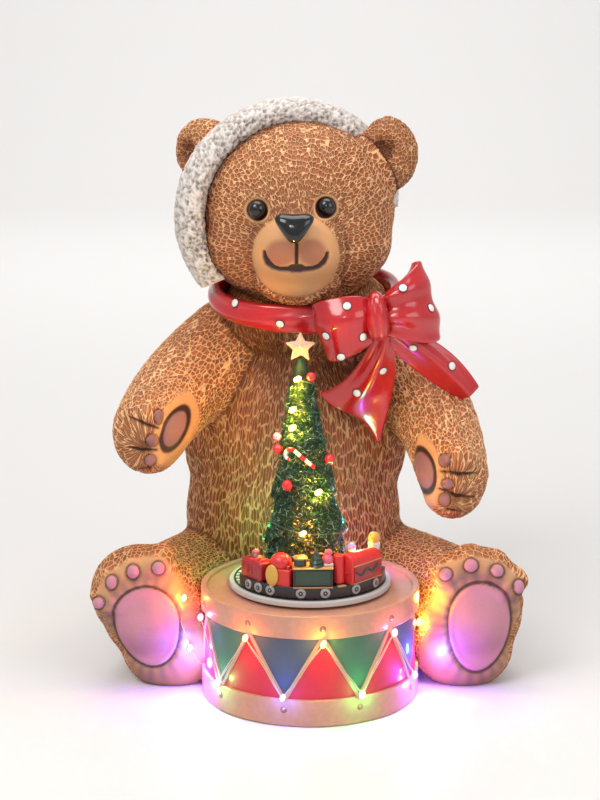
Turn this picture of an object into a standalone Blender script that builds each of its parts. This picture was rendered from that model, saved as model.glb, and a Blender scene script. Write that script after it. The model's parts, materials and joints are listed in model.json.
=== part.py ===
"""Light-up teddy bear figure: a seated resin bear in a Santa hat, scarf and bow, with a toy drum
between its feet that carries a track plate, a small train and a tinsel tree with lights.

Metres, +Z up. The origin lies on the underside, midway between the drum and the bear's back.
The bear faces -Y and its own right paw is at -X.
"""

import math

import bmesh
import bpy
import numpy as np
from mathutils import Matrix, Vector

# Driving dimensions of the figure
BEAR_HEIGHT = 0.430
BEAR_GRAIN = 0.0034
BEAR_FACES = 3080
SMILE_RADIUS = 0.0021
GAP = 0.0003

# Driving dimensions of the drum
DRUM_RADIUS = 0.0780
DRUM_HEIGHT = 0.0825
DRUM_FORWARD = 0.065
HOOP_PROUD = 0.0025
TOP_HOOP = 0.0170
BOTTOM_HOOP = 0.0200
HOOP_WALL = 0.0050
HEAD_RECESS = 0.0025
ZIGZAGS = 9
ZIGZAG_TURN = math.radians(6.3)
LACE_WIDTH = 0.0034
LACE_PROUD = 0.0012
RIVET_RADIUS = 0.0024
CLEARING_HEIGHT = 0.0300
PLATE_CLEARANCE = 0.0020
DRUM_SIDES = 36

# Driving dimensions of the track plate
PLATE_RADIUS = 0.0595
PLATE_THICKNESS = 0.0042
PLATE_FOOT = 0.0500
PLATE_FOOT_HEIGHT = 0.0018
RAIL_GAUGE = 0.0110
RAIL_WIDTH = 0.0012
RAIL_HEIGHT = 0.0009
TRACK_RADIUS = 0.0500

# Driving dimensions of the train
SKIRT_WIDTH = 0.0150
SKIRT_HEIGHT = 0.0085
WHEEL_RADIUS = 0.0030
WHEEL_PROUD = 0.0009
WHEEL_SUNK = 0.0020
TRACK_INSET = 0.0020
CAR_WIDTH = 0.0150
CAR_HEIGHT = 0.0150
PANEL_PROUD = 0.0008
CAB_LENGTH = 0.0250
TENDER_LENGTH = 0.0190
WAGON_LENGTH = 0.0290
COACH_LENGTH = 0.0330
LANTERN_HEIGHT = 0.0225
LAMP_POST_HEIGHT = 0.0250
LAMP_RADIUS = 0.0042

# Driving dimensions of the tree
TREE_HEIGHT = 0.1655
TREE_RADIUS = 0.0360
TREE_TIP_RADIUS = 0.0060
TREE_LEAN = -0.030
TREE_SIDEWAYS = -0.0020
TREE_TIERS = 5
STAR_RADIUS = 0.0130
STAR_THICKNESS = 0.0064
STAR_SEAT = 0.0016
BALL_RADIUS = 0.0036
CANE_LENGTH = 0.0230
CANE_RADIUS = 0.0013

# Driving dimensions of the lights
WIRE_RADIUS = 0.0005
DROP_RADIUS = 0.0021
DROP_LENGTH = 0.0062

# The figure's proportions are given on a bear 430 units tall.
FIGURE_UNITS = 430.0
UNIT = BEAR_HEIGHT / FIGURE_UNITS

DRUM_CENTRE = Vector((0.0, -DRUM_FORWARD, 0.0))
DRUMHEAD = DRUM_HEIGHT - HEAD_RECESS
PLATE_TOP = DRUMHEAD + GAP + PLATE_FOOT_HEIGHT + PLATE_THICKNESS
TRAIN_FLOOR = PLATE_TOP + RAIL_HEIGHT + GAP


def at(x, y, z):
    """A place on the figure, from its proportions."""
    return Vector((x, y, z)) * UNIT


def size(*lengths):
    """Lengths on the figure, from its proportions."""
    return [length * UNIT for length in lengths]


# General tools

def clear_scene():
    for thing in list(bpy.data.objects):
        bpy.data.objects.remove(thing, do_unlink=True)


def paint(name, colour, roughness, metallic=0.0):
    """A plain finish."""
    material = bpy.data.materials.new(name)
    material.use_nodes = True
    shader = material.node_tree.nodes["Principled BSDF"]
    shader.inputs["Base Color"].default_value = (*colour, 1.0)
    shader.inputs["Roughness"].default_value = roughness
    shader.inputs["Metallic"].default_value = metallic
    material.diffuse_color = (*colour, 1.0)
    return material


def to_object(shape, name, material=None):
    """Turn a bmesh into an object, shaded smooth up to a crease angle."""
    bmesh.ops.recalc_face_normals(shape, faces=shape.faces)
    mesh = bpy.data.meshes.new(name)
    shape.to_mesh(mesh)
    shape.free()
    thing = bpy.data.objects.new(name, mesh)
    bpy.context.scene.collection.objects.link(thing)
    dress(thing, material)
    return thing


def dress(thing, material):
    """Give an object its finish and its smooth shading."""
    thing.data.materials.clear()
    if material is not None:
        thing.data.materials.append(material)
    thing.data.shade_smooth()
    thing.data.set_sharp_from_angle(angle=math.radians(40))


def evaluated(thing):
    """Put an object's modified shape into its own mesh."""
    graph = bpy.context.evaluated_depsgraph_get()
    graph.update()
    mesh = bpy.data.meshes.new_from_object(thing.evaluated_get(graph))
    thing.modifiers.clear()
    thing.data = mesh
    return thing


def volume(thing):
    """Volume inside an object's mesh."""
    shape = bmesh.new()
    shape.from_mesh(thing.data)
    inside = shape.calc_volume()
    shape.free()
    return inside


def fuse(thing, others, operation="UNION", solver="EXACT"):
    """Join other solids to an object, or cut them from it, one after another.

    A step that loses more material than the cut can take is made again with the other solver.
    """
    for other in others:
        before = thing.data.copy()
        least = volume(thing) - (volume(other) if operation == "DIFFERENCE" else 0.0)
        for attempt in dict.fromkeys((solver, "MANIFOLD")):
            thing.data = before.copy()
            step = thing.modifiers.new("fuse", "BOOLEAN")
            step.operation = operation
            step.solver = attempt
            step.object = other
            evaluated(thing)
            if volume(thing) > least * 0.999:
                break
        bpy.data.objects.remove(other, do_unlink=True)
    return thing


def add_ball(shape, centre, radii, turn=None, detail=3):
    """An ellipsoid with its own centre, half-lengths and turn."""
    turn = turn.to_4x4() if turn is not None else Matrix.Identity(4)
    place = Matrix.Translation(centre) @ turn @ Matrix.Diagonal((*radii, 1.0))
    bmesh.ops.create_icosphere(shape, subdivisions=detail, radius=1.0, matrix=place)


def add_limb(shape, path, radii, steps=9):
    """Balls along a quadratic curve through three points, their radii blended the same way."""
    for i in range(steps + 1):
        t = i / steps
        weights = ((1 - t) * (1 - 2 * t), 4 * t * (1 - t), t * (2 * t - 1))
        centre = sum((w * p for w, p in zip(weights, path)), Vector())
        radius = sum(w * r for w, r in zip(weights, radii))
        add_ball(shape, centre, (radius,) * 3)


def add_block(shape, length, depth, height, place, bevel=0.0):
    """A box standing on its place, with softened edges."""
    stand = place @ Matrix.Translation((0, 0, height / 2)) @ Matrix.Diagonal((length, depth, height, 1.0))
    made = bmesh.ops.create_cube(shape, size=1.0, matrix=stand)
    if bevel:
        edges = list({edge for vert in made["verts"] for edge in vert.link_edges})
        bmesh.ops.bevel(shape, geom=edges, offset=bevel, segments=1, affect="EDGES")


def add_drum(shape, radius, height, place, sides=24, top_radius=None):
    """A round column standing on its place."""
    bmesh.ops.create_cone(
        shape, cap_ends=True, segments=sides, radius1=radius,
        radius2=radius if top_radius is None else top_radius, depth=height,
        matrix=place @ Matrix.Translation((0, 0, height / 2)),
    )


def add_turned(shape, profile, sides, place=None):
    """A closed solid of revolution from (radius, height) points listed from the bottom axis up."""
    place = place or Matrix.Identity(4)
    rings = []
    for radius, height in profile:
        if radius < 1e-6:
            rings.append([shape.verts.new(place @ Vector((0, 0, height)))])
            continue
        rings.append([
            shape.verts.new(place @ Vector((
                radius * math.cos(math.tau * k / sides), radius * math.sin(math.tau * k / sides), height,
            )))
            for k in range(sides)
        ])
    for low, high in zip(rings, rings[1:]):
        for k in range(sides):
            n = (k + 1) % sides
            if len(low) == 1:
                shape.faces.new((low[0], high[n], high[k]))
            elif len(high) == 1:
                shape.faces.new((low[k], low[n], high[0]))
            else:
                shape.faces.new((low[k], low[n], high[n], high[k]))


def add_tube(shape, rings, closed):
    """A skin over rings of points, closed on itself or capped at both ends."""
    rows = [[shape.verts.new(point) for point in ring] for ring in rings]
    count = len(rows[0])
    pairs = list(zip(rows, rows[1:] + rows[:1])) if closed else list(zip(rows, rows[1:]))
    for low, high in pairs:
        for k in range(count):
            n = (k + 1) % count
            shape.faces.new((low[k], low[n], high[n], high[k]))
    if not closed:
        shape.faces.new(rows[0][::-1])
        shape.faces.new(rows[-1])


# Bear: the modelled body

def body_form():
    """The seated body, head, ears and limbs as one smooth skin over balls and limbs."""
    shape = bmesh.new()
    add_ball(shape, at(-13, 72, 98), size(86, 76, 104))
    add_ball(shape, at(-11, 74, 160), size(90, 66, 88))
    add_ball(shape, at(-2, 66, 262), size(68, 56, 40))
    add_ball(shape, at(-10, 52, 342), size(76, 70, 70))
    add_ball(shape, at(-10, 40, 322), size(74, 62, 48))
    add_ball(shape, at(-9, -8, 322), size(37, 34, 34))
    add_ball(shape, at(-9, 0, 300), size(34, 34, 22))
    for side, reach, middle, tall in ((-1, -80, 388, 26), (1, 60, 385, 30)):
        lean = Matrix.Rotation(math.radians(18 * side), 3, "Z") @ Matrix.Rotation(math.radians(-8), 3, "X")
        add_ball(shape, at(reach, 56, middle), size(25, 14, tall), lean)
    add_limb(shape, (at(-62, 74, 232), at(-98, 26, 209), at(-117, -34, 192)), size(39, 35, 30))
    add_limb(shape, (at(60, 74, 220), at(93, 34, 190), at(106, -34, 157)), size(38, 33, 28))
    add_ball(shape, at(-119, -40, 191), size(28, 27, 33))
    add_ball(shape, at(106, -38, 155), size(26, 26, 32))
    add_limb(shape, (at(-56, 76, 46), at(-94, 18, 52), at(-116, -38, 54)), size(47, 42, 42))
    add_limb(shape, (at(48, 76, 44), at(92, 18, 50), at(119, -38, 52)), size(47, 42, 42))
    add_ball(shape, at(-126, -50, 70), size(39, 25, 38))
    add_ball(shape, at(-104, -46, 26), size(39, 26, 34))
    add_ball(shape, at(125, -50, 66), size(36, 25, 40))
    add_ball(shape, at(115, -46, 26), size(39, 26, 34))
    for x, z in SOLE_TOES["left"] + SOLE_TOES["right"]:
        add_ball(shape, at(x, -60, z), size(13, 19, 13))
    for spots, x in ((FINGERS["left"], -120), (FINGERS["right"], 108)):
        for z in spots:
            add_ball(shape, at(x, -52, z), size(16, 17, 10.5))
    return to_object(shape, "body_form")


SOLE_TOES = {
    "left": [(-152, 68), (-145, 85), (-130, 95), (-112, 98)],
    "right": [(100, 91), (118, 98), (136, 94), (150, 81)],
}
FINGERS = {"left": (209, 191, 173), "right": (175, 156, 140)}
EYES = ((-39, 352.3), (12, 354.3))


def smoothed_body():
    """The body form as one even skin, its blends softened."""
    body = body_form()
    skin = body.modifiers.new("skin", "REMESH")
    skin.mode = "VOXEL"
    skin.voxel_size = BEAR_GRAIN
    soften = body.modifiers.new("soften", "SMOOTH")
    soften.factor = 0.5
    soften.iterations = 9
    return evaluated(body)


def body_arrays(body):
    """Places and normals of a body's points."""
    count = len(body.data.vertices)
    places = np.empty(count * 3)
    normals = np.empty(count * 3)
    body.data.vertices.foreach_get("co", places)
    body.data.vertices.foreach_get("normal", normals)
    return places.reshape(-1, 3), normals.reshape(-1, 3)


def bump(distance, width):
    """A smooth rise of one, falling off with distance."""
    return np.exp(-(distance / width) ** 2)


def pad_mark(places, normals, centre, facing, up, half, groove, sink):
    """Depth of an oval paw pad: a groove around its rim and a slightly sunk middle."""
    facing = Vector(facing).normalized()
    side = Vector(up).cross(facing).normalized()
    up = facing.cross(side)
    offset = places - np.array(centre)
    across = offset @ np.array(side) / half[0]
    along = offset @ np.array(up) / half[1]
    deep = offset @ np.array(facing)
    spread = np.hypot(across, along)
    near = (np.abs(deep) < max(half)) & (normals @ np.array(facing) > 0.1)
    rim = bump((spread - 1.0) * min(half), 2.4 * UNIT)
    inner = np.clip((1.0 - spread) * min(half) / (3 * UNIT), 0.0, 1.0)
    return -(groove * rim + sink * inner) * near


def groove_mark(places, start, end, bow, width, depth):
    """Depth of a groove along an arc from start to end, bowed by a given offset."""
    steps = 24
    t = np.linspace(0.0, 1.0, steps)[:, None]
    middle = (np.array(start) + np.array(end)) / 2 + np.array(bow)
    line = (1 - t) ** 2 * np.array(start) + 2 * t * (1 - t) * middle + t ** 2 * np.array(end)
    nearest = np.full(len(places), 1.0)
    for point in line:
        nearest = np.minimum(nearest, np.linalg.norm(places - point, axis=1))
    return -depth * bump(nearest, width)


def carve_body(body):
    """Press the pads, the smile, the eye sockets and the ear hollows into the body."""
    places, normals = body_arrays(body)
    depth = np.zeros(len(places))
    for x, z, turn in ((-118, 54, -14), (124, 51, 3)):
        up = (math.sin(math.radians(turn)), 0.25, math.cos(math.radians(turn)))
        depth += pad_mark(
            places, normals, at(x, -74, z), (0, -1, 0.1), up, size(24, 31), *size(3.6, 1.4),
        )
    for x, z in SOLE_TOES["left"] + SOLE_TOES["right"]:
        depth += pad_mark(places, normals, at(x, -76, z), (0, -1, 0.2), (0, 0, 1), size(7, 7), *size(2.2, 0.2))
    for side, x, z in ((1, -99, 197), (-1, 86, 163)):
        depth += pad_mark(
            places, normals, at(x, -60, z), (0.65 * side, -0.76, 0), (-0.2 * side, 0, 1),
            size(15, 19), *size(3.0, 1.2),
        )
    for spots, x, side in ((FINGERS["left"], -116, 1), (FINGERS["right"], 100, -1)):
        for z in spots:
            depth += pad_mark(
                places, normals, at(x, -68, z), (0.2 * side, -1, 0), (0, 0, 1), size(6, 6), *size(1.8, 0.2),
            )
    depth += groove_mark(places, at(-11, -46, 332), at(-10, -42, 312), at(0, -1, 0), *size(1.8, 1.8))
    for x, z in EYES:
        socket = np.linalg.norm(places - np.array(at(x, -14, z)), axis=1)
        depth -= 2.6 * UNIT * bump(socket, 8 * UNIT)
    places += normals * depth[:, None]
    body.data.vertices.foreach_set("co", places.ravel())
    body.data.update()
    return body


def thinned(thing, faces):
    """Fewer, larger triangles where the form is plain."""
    thing.data.calc_loop_triangles()
    thin = thing.modifiers.new("thin", "DECIMATE")
    thin.ratio = faces / len(thing.data.loop_triangles)
    thin.use_collapse_triangulate = True
    evaluated(thing)
    shape = bmesh.new()
    shape.from_mesh(thing.data)
    flaps = [f for f in shape.faces if sum(len(e.link_faces) == 1 for e in f.edges) > 1]
    bmesh.ops.delete(shape, geom=flaps, context="FACES")
    bmesh.ops.delete(shape, geom=[v for v in shape.verts if not v.link_faces], context="VERTS")
    shape.to_mesh(thing.data)
    shape.free()
    return thing


def ear_hollow(x):
    """The dish scooped out of an ear's front."""
    shape = bmesh.new()
    add_ball(shape, at(x, 40, 388), size(16, 7, 17), detail=2)
    return to_object(shape, "ear_hollow")


def smile(body):
    """The mouth's line, a curved bar let into the muzzle's surface."""
    sides, steps = 4, 12
    middles = []
    for i in range(steps + 1):
        t = i / steps
        aim = at(-34 + 48 * t, -300, 323.7 - 12.0 * (1 - abs(2 * t - 1) ** 2.6))
        hit, place = body.ray_cast(aim, Vector((0, 1, 0)))[:2]
        middles.append(place if hit else aim)
    rings = []
    for i, middle in enumerate(middles):
        along = (middles[min(i + 1, steps)] - middles[max(i - 1, 0)]).normalized()
        up = along.cross(Vector((0, 1, 0))).normalized()
        radius = SMILE_RADIUS * (0.55 + 0.45 * math.sin(math.pi * i / steps))
        rings.append([
            middle + (up * math.cos(math.tau * k / sides) + Vector((0, 1, 0)) * math.sin(math.tau * k / sides)) * radius
            for k in range(sides)
        ])
    shape = bmesh.new()
    add_tube(shape, rings, closed=False)
    return to_object(shape, "smile")


def eye(x, z):
    """One domed eye."""
    shape = bmesh.new()
    add_ball(shape, at(x, -13.5, z), size(6.4, 5.4, 6.6), detail=2)
    return to_object(shape, "eye")


def nose():
    """The nose: a rounded block that narrows downwards."""
    shape = bmesh.new()
    bmesh.ops.create_uvsphere(shape, u_segments=12, v_segments=7, radius=1.0)
    for vert in shape.verts:
        x, y, z = vert.co
        x, z = (math.copysign(abs(v) ** 0.75, v) for v in (x, z))
        narrow = 0.68 + 0.32 * z
        vert.co = at(-11.5 + 16.5 * x * narrow, -42 + 8.0 * y, 343.5 + 10.5 * z)
    return to_object(shape, "nose")


# Bear: hat, scarf and bow

def brim_rings(steps, points):
    """Rings of the hat's fur brim: a fat band round the face, over the crown and down the cheeks."""
    rings = []
    for i in range(steps):
        t = math.tau * i / steps
        out = Vector((math.cos(t), 0.0, math.sin(t)))
        reach = 75.5 - 6.5 * max(0.0, math.cos(t + 0.75)) ** 2
        middle = at(-15, 52, 341) + out * reach * UNIT
        middle.y += (24.0 * math.cos(t) + 6.0 * math.sin(t)) * UNIT
        back = Vector((0.22 * math.cos(t), 1.0, 0.0)).normalized()
        wide, thick = size(15.5, 12.0)
        rings.append([
            middle + back * wide * math.cos(math.tau * k / points) + out * thick * math.sin(math.tau * k / points)
            for k in range(points)
        ])
    return rings


def hat_brim():
    shape = bmesh.new()
    add_tube(shape, brim_rings(48, 10), closed=True)
    return to_object(shape, "hat_brim")


def hat_crown():
    """The hat's cloth: a dome over the back of the head, its tip folded down behind."""
    shape = bmesh.new()
    add_ball(shape, at(-22, 74, 349), size(80, 68, 74))
    add_limb(shape, (at(-16, 96, 372), at(-24, 138, 356), at(-30, 142, 314)), size(42, 28, 13))
    crown = to_object(shape, "hat_crown")
    skin = crown.modifiers.new("skin", "REMESH")
    skin.mode = "VOXEL"
    skin.voxel_size = 1.3 * BEAR_GRAIN
    soften = crown.modifiers.new("soften", "SMOOTH")
    soften.iterations = 6
    return evaluated(crown)


def hat_pompom():
    shape = bmesh.new()
    add_ball(shape, at(-29, 146, 296), size(19, 17, 19))
    return to_object(shape, "hat_pompom")


def scarf():
    """The scarf: a flat band round the neck, lower in front."""
    shape = bmesh.new()
    steps = 40
    rings = []
    for i in range(steps):
        t = math.tau * i / steps
        out = Vector((math.cos(t), math.sin(t), 0.0))
        middle = at(-3 + 69 * math.cos(t), 50 + 63 * math.sin(t), 277 + 7 * math.sin(t))
        tall, thick = size(10.0, 5.0)
        corners = ((-thick, -tall), (0.8 * thick, -0.8 * tall), (1.3 * thick, 0), (0.8 * thick, 0.8 * tall),
                   (-thick, tall))
        rings.append([middle + out * across + Vector((0, 0, up)) for across, up in corners])
    add_tube(shape, rings, closed=True)
    return to_object(shape, "scarf")


def add_ribbon(shape, path, widths, across, puff, pleats, steps=7, span=5):
    """A closed ribbon along a quadratic curve.

    widths are half-widths at its ends and middle, across is its crosswise direction, puff its
    half-thickness, and pleats the height of the gathers that fade along it.
    """
    across = Vector(across).normalized()
    rings = []
    for i in range(steps + 1):
        t = i / steps
        weights = ((1 - t) * (1 - 2 * t), 4 * t * (1 - t), t * (2 * t - 1))
        middle = sum((w * p for w, p in zip(weights, path)), Vector())
        half = sum(w * h for w, h in zip(weights, widths))
        slope = ((4 * t - 3), 4 - 8 * t, 4 * t - 1)
        along = sum((w * p for w, p in zip(slope, path)), Vector()).normalized()
        lift = along.cross(across).normalized()
        side = lift.cross(along).normalized()
        front, rear = [], []
        for k in range(span):
            s = 2 * k / (span - 1) - 1
            fold = pleats * math.cos(2.5 * math.pi * s) * (1 - 0.55 * t)
            round_off = math.sqrt(max(0.0, 1 - s * s)) * (0.35 + 0.65 * math.sin(math.pi * min(1, t + 0.12)))
            base = middle + side * (half * s)
            front.append(base + lift * (fold + puff * round_off + RIBBON_EDGE * UNIT))
            rear.append(base + lift * (fold - puff * round_off - RIBBON_EDGE * UNIT))
        rings.append(front + rear[::-1])
    add_tube(shape, rings, closed=False)


RIBBON_EDGE = 1.2
BOW_PARTS = {
    "left_loop": (((50, -20, 279), (28, -29, 271), (4, -13, 264)), (13, 22, 24), (0.15, 0, 1), 9.0, 2.0),
    "right_loop": (((48, -20, 280), (66, -22, 284), (85, -4, 281)), (12, 20, 28), (-0.28, 0, 1), 9.0, 2.0),
    "left_tail": (((50, -15, 268), (45, -10, 231), (29, 9, 190)), (9, 18, 24), (1, 0.1, 0.45), 2.2, 1.6),
    "right_tail": (((52, -15, 268), (81, -7, 237), (117, 6, 209)), (8, 17, 9), (0.6, 0.1, 0.8), 2.2, 1.6),
}


def bow_part(name):
    """One loop or tail of the bow."""
    path, widths, across, puff, pleats = BOW_PARTS[name]
    shape = bmesh.new()
    add_ribbon(shape, [at(*p) for p in path], size(*widths), across, puff * UNIT, pleats * UNIT)
    return to_object(shape, name)


def bow_knot():
    shape = bmesh.new()
    add_ball(shape, at(50, -22, 278), size(10.5, 12, 16), detail=2)
    return to_object(shape, "bow_knot")


# Bear: the drum cast in front of it

def drum_shell():
    """The drum's turned shell: two hoops and a recessed head."""
    outer = DRUM_RADIUS + HOOP_PROUD
    ease = 0.0012
    top = DRUM_HEIGHT
    shelf = top - TOP_HOOP
    profile = (
        (0.0, 0.0), (outer - ease, 0.0), (outer, ease), (outer, BOTTOM_HOOP),
        (DRUM_RADIUS, BOTTOM_HOOP), (DRUM_RADIUS, shelf),
        (outer, shelf), (outer, top - ease), (outer - ease, top),
        (outer - HOOP_WALL, top), (outer - HOOP_WALL, DRUMHEAD), (0.0, DRUMHEAD),
    )
    shape = bmesh.new()
    add_turned(shape, profile, DRUM_SIDES, Matrix.Translation(DRUM_CENTRE))
    return to_object(shape, "drum_shell")


def on_drum(angle, height, radius):
    """A place round the drum. Angle 0 is at the front and turns towards +X."""
    return DRUM_CENTRE + Vector((radius * math.sin(angle), -radius * math.cos(angle), height))


def zigzag_points():
    """Ends of the drum's laces as (angle, is_top), round the front between the bear's feet."""
    step = math.tau / ZIGZAGS
    points = []
    for k in range(-2, 3):
        points.append((ZIGZAG_TURN + (k - 0.5) * step, False))
        points.append((ZIGZAG_TURN + k * step, True))
    return points[:-1]


def lace_height(is_top):
    """Height of a lace's end against the hoop it meets."""
    inset = LACE_WIDTH * 0.3
    return DRUM_HEIGHT - TOP_HOOP + inset if is_top else BOTTOM_HOOP - inset


def drum_laces():
    """Flat laces in a zigzag round the shell, each a closed strip from hoop to hoop."""
    inner, outer = DRUM_RADIUS - LACE_PROUD, DRUM_RADIUS + LACE_PROUD
    turn = LACE_WIDTH * 0.62 / DRUM_RADIUS
    pieces = 3
    laces = []
    points = zigzag_points()
    for (a, a_top), (b, b_top) in zip(points, points[1:]):
        skin = []
        for i in range(pieces + 1):
            t = i / pieces
            angle = a + (b - a) * t
            height = lace_height(a_top) + (lace_height(b_top) - lace_height(a_top)) * t
            skin.append([
                on_drum(angle - turn, height, inner), on_drum(angle + turn, height, inner),
                on_drum(angle + turn, height, outer), on_drum(angle - turn, height, outer),
            ])
        shape = bmesh.new()
        add_tube(shape, skin, closed=False)
        laces.append(to_object(shape, "lace"))
    return laces


def drum_rivets():
    """Small domed rivets on both hoops, at the ends of the laces."""
    made = []
    for angle, is_top in zigzag_points():
        height = DRUM_HEIGHT - TOP_HOOP * 0.55 if is_top else BOTTOM_HOOP * 0.62
        shape = bmesh.new()
        place = on_drum(angle, height, DRUM_RADIUS + HOOP_PROUD)
        bmesh.ops.create_uvsphere(
            shape, u_segments=6, v_segments=3, radius=RIVET_RADIUS, matrix=Matrix.Translation(place),
        )
        made.append(to_object(shape, "rivet"))
    return made


def bear():
    """The whole casting, cut flat below."""
    body = carve_body(smoothed_body())
    body.name = "bear"
    fuse(body, [hat_crown(), hat_brim(), hat_pompom(), scarf()])
    thinned(body, BEAR_FACES)
    fuse(body, [smile(body), ear_hollow(-82), ear_hollow(62)], "DIFFERENCE")
    fuse(body, [bow_part(name) for name in BOW_PARTS] + [bow_knot(), nose()] + [eye(*place) for place in EYES])
    drum = drum_shell()
    fuse(drum, drum_laces() + drum_rivets(), solver="MANIFOLD")
    clearing = bmesh.new()
    floor = Matrix.Translation(DRUM_CENTRE + Vector((0, 0, DRUMHEAD)))
    add_drum(clearing, PLATE_RADIUS + PLATE_CLEARANCE, CLEARING_HEIGHT, floor, DRUM_SIDES)
    fuse(body, [to_object(clearing, "clearing")], "DIFFERENCE")
    fuse(body, [drum])
    below = bmesh.new()
    deep = 0.2
    add_block(below, 1.0, 1.0, deep, Matrix.Translation((0, 0, -deep)))
    fuse(body, [to_object(below, "below")], "DIFFERENCE")
    dress(body, paint("painted_fur", (0.62, 0.33, 0.17), 0.6))
    return body


# Track plate

def track_plate():
    """The round plate on the drumhead, with two raised rails."""
    foot = DRUMHEAD + GAP
    under = foot + PLATE_FOOT_HEIGHT
    ease = 0.0008
    profile = [
        (0.0, foot), (PLATE_FOOT, foot), (PLATE_FOOT, under),
        (PLATE_RADIUS, under), (PLATE_RADIUS, PLATE_TOP - ease), (PLATE_RADIUS - ease, PLATE_TOP),
    ]
    for side in (1, -1):
        rail = TRACK_RADIUS + side * RAIL_GAUGE / 2
        for edge, height in ((0.5, 0), (0.5, 1), (-0.5, 1), (-0.5, 0)):
            profile.append((rail + edge * RAIL_WIDTH, PLATE_TOP + height * RAIL_HEIGHT))
    profile.append((0.0, PLATE_TOP))
    shape = bmesh.new()
    add_turned(shape, profile, 24, Matrix.Translation(DRUM_CENTRE))
    return to_object(shape, "track_plate", paint("plate_grey", (0.55, 0.53, 0.50), 0.5))


# Train

def on_track(angle, outward=0.0, height=0.0):
    """A place on the train's arc: X along the track, Y outwards, Z up from the rails."""
    turn = Matrix.Rotation(angle, 4, "Z") @ Matrix.Rotation(math.pi, 4, "Z")
    place = on_drum(angle, TRAIN_FLOOR + height, TRACK_RADIUS - TRACK_INSET + outward)
    return Matrix.Translation(place) @ turn


def train_skirt():
    """The curved black bed that carries the wagons."""
    shape = bmesh.new()
    steps = 16
    start, end = math.radians(-68), math.radians(86)
    rings = []
    for i in range(steps + 1):
        angle = start + (end - start) * i / steps
        corners = ((-1, 0), (1, 0), (1, SKIRT_HEIGHT), (-1, SKIRT_HEIGHT))
        rings.append([
            on_drum(angle, TRAIN_FLOOR + up, TRACK_RADIUS - TRACK_INSET + side * SKIRT_WIDTH / 2)
            for side, up in corners
        ])
    add_tube(shape, rings, closed=False)
    return to_object(shape, "train_skirt")


def train_wheel(angle, radius=WHEEL_RADIUS):
    """A disc wheel on the skirt's outer face."""
    shape = bmesh.new()
    place = on_track(angle, SKIRT_WIDTH / 2 - WHEEL_SUNK, radius * 1.4)
    lie = Matrix.Rotation(math.radians(90), 4, "X")
    add_drum(shape, radius, WHEEL_SUNK + WHEEL_PROUD, place @ lie, 8)
    return to_object(shape, "wheel")


def block_on_track(angle, length, height, lift, depth=CAR_WIDTH, outward=0.0, bevel=0.0):
    shape = bmesh.new()
    add_block(shape, length, depth, height, on_track(angle, outward, lift), bevel)
    return to_object(shape, "block")


def ball_on_track(angle, radii, lift, outward=0.0):
    shape = bmesh.new()
    place = on_track(angle, outward, lift)
    bmesh.ops.create_uvsphere(
        shape, u_segments=8, v_segments=4, radius=1.0, matrix=place @ Matrix.Diagonal((*radii, 1.0)),
    )
    return to_object(shape, "ball")


def lying_barrel(angle, radius, length, lift, slope=0.0, sides=12):
    """A boiler lying along the track."""
    shape = bmesh.new()
    lie = Matrix.Rotation(math.radians(90), 4, "Y") @ Matrix.Translation((0, 0, -length / 2))
    add_drum(shape, radius, length, on_track(angle, 0.0, lift) @ Matrix.Rotation(slope, 4, "Y") @ lie, sides)
    return to_object(shape, "barrel")


def column_on_track(angle, radius, height, lift, outward=0.0, top_radius=None, sides=10):
    shape = bmesh.new()
    add_drum(shape, radius, height, on_track(angle, outward, lift), sides, top_radius)
    return to_object(shape, "column")


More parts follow.
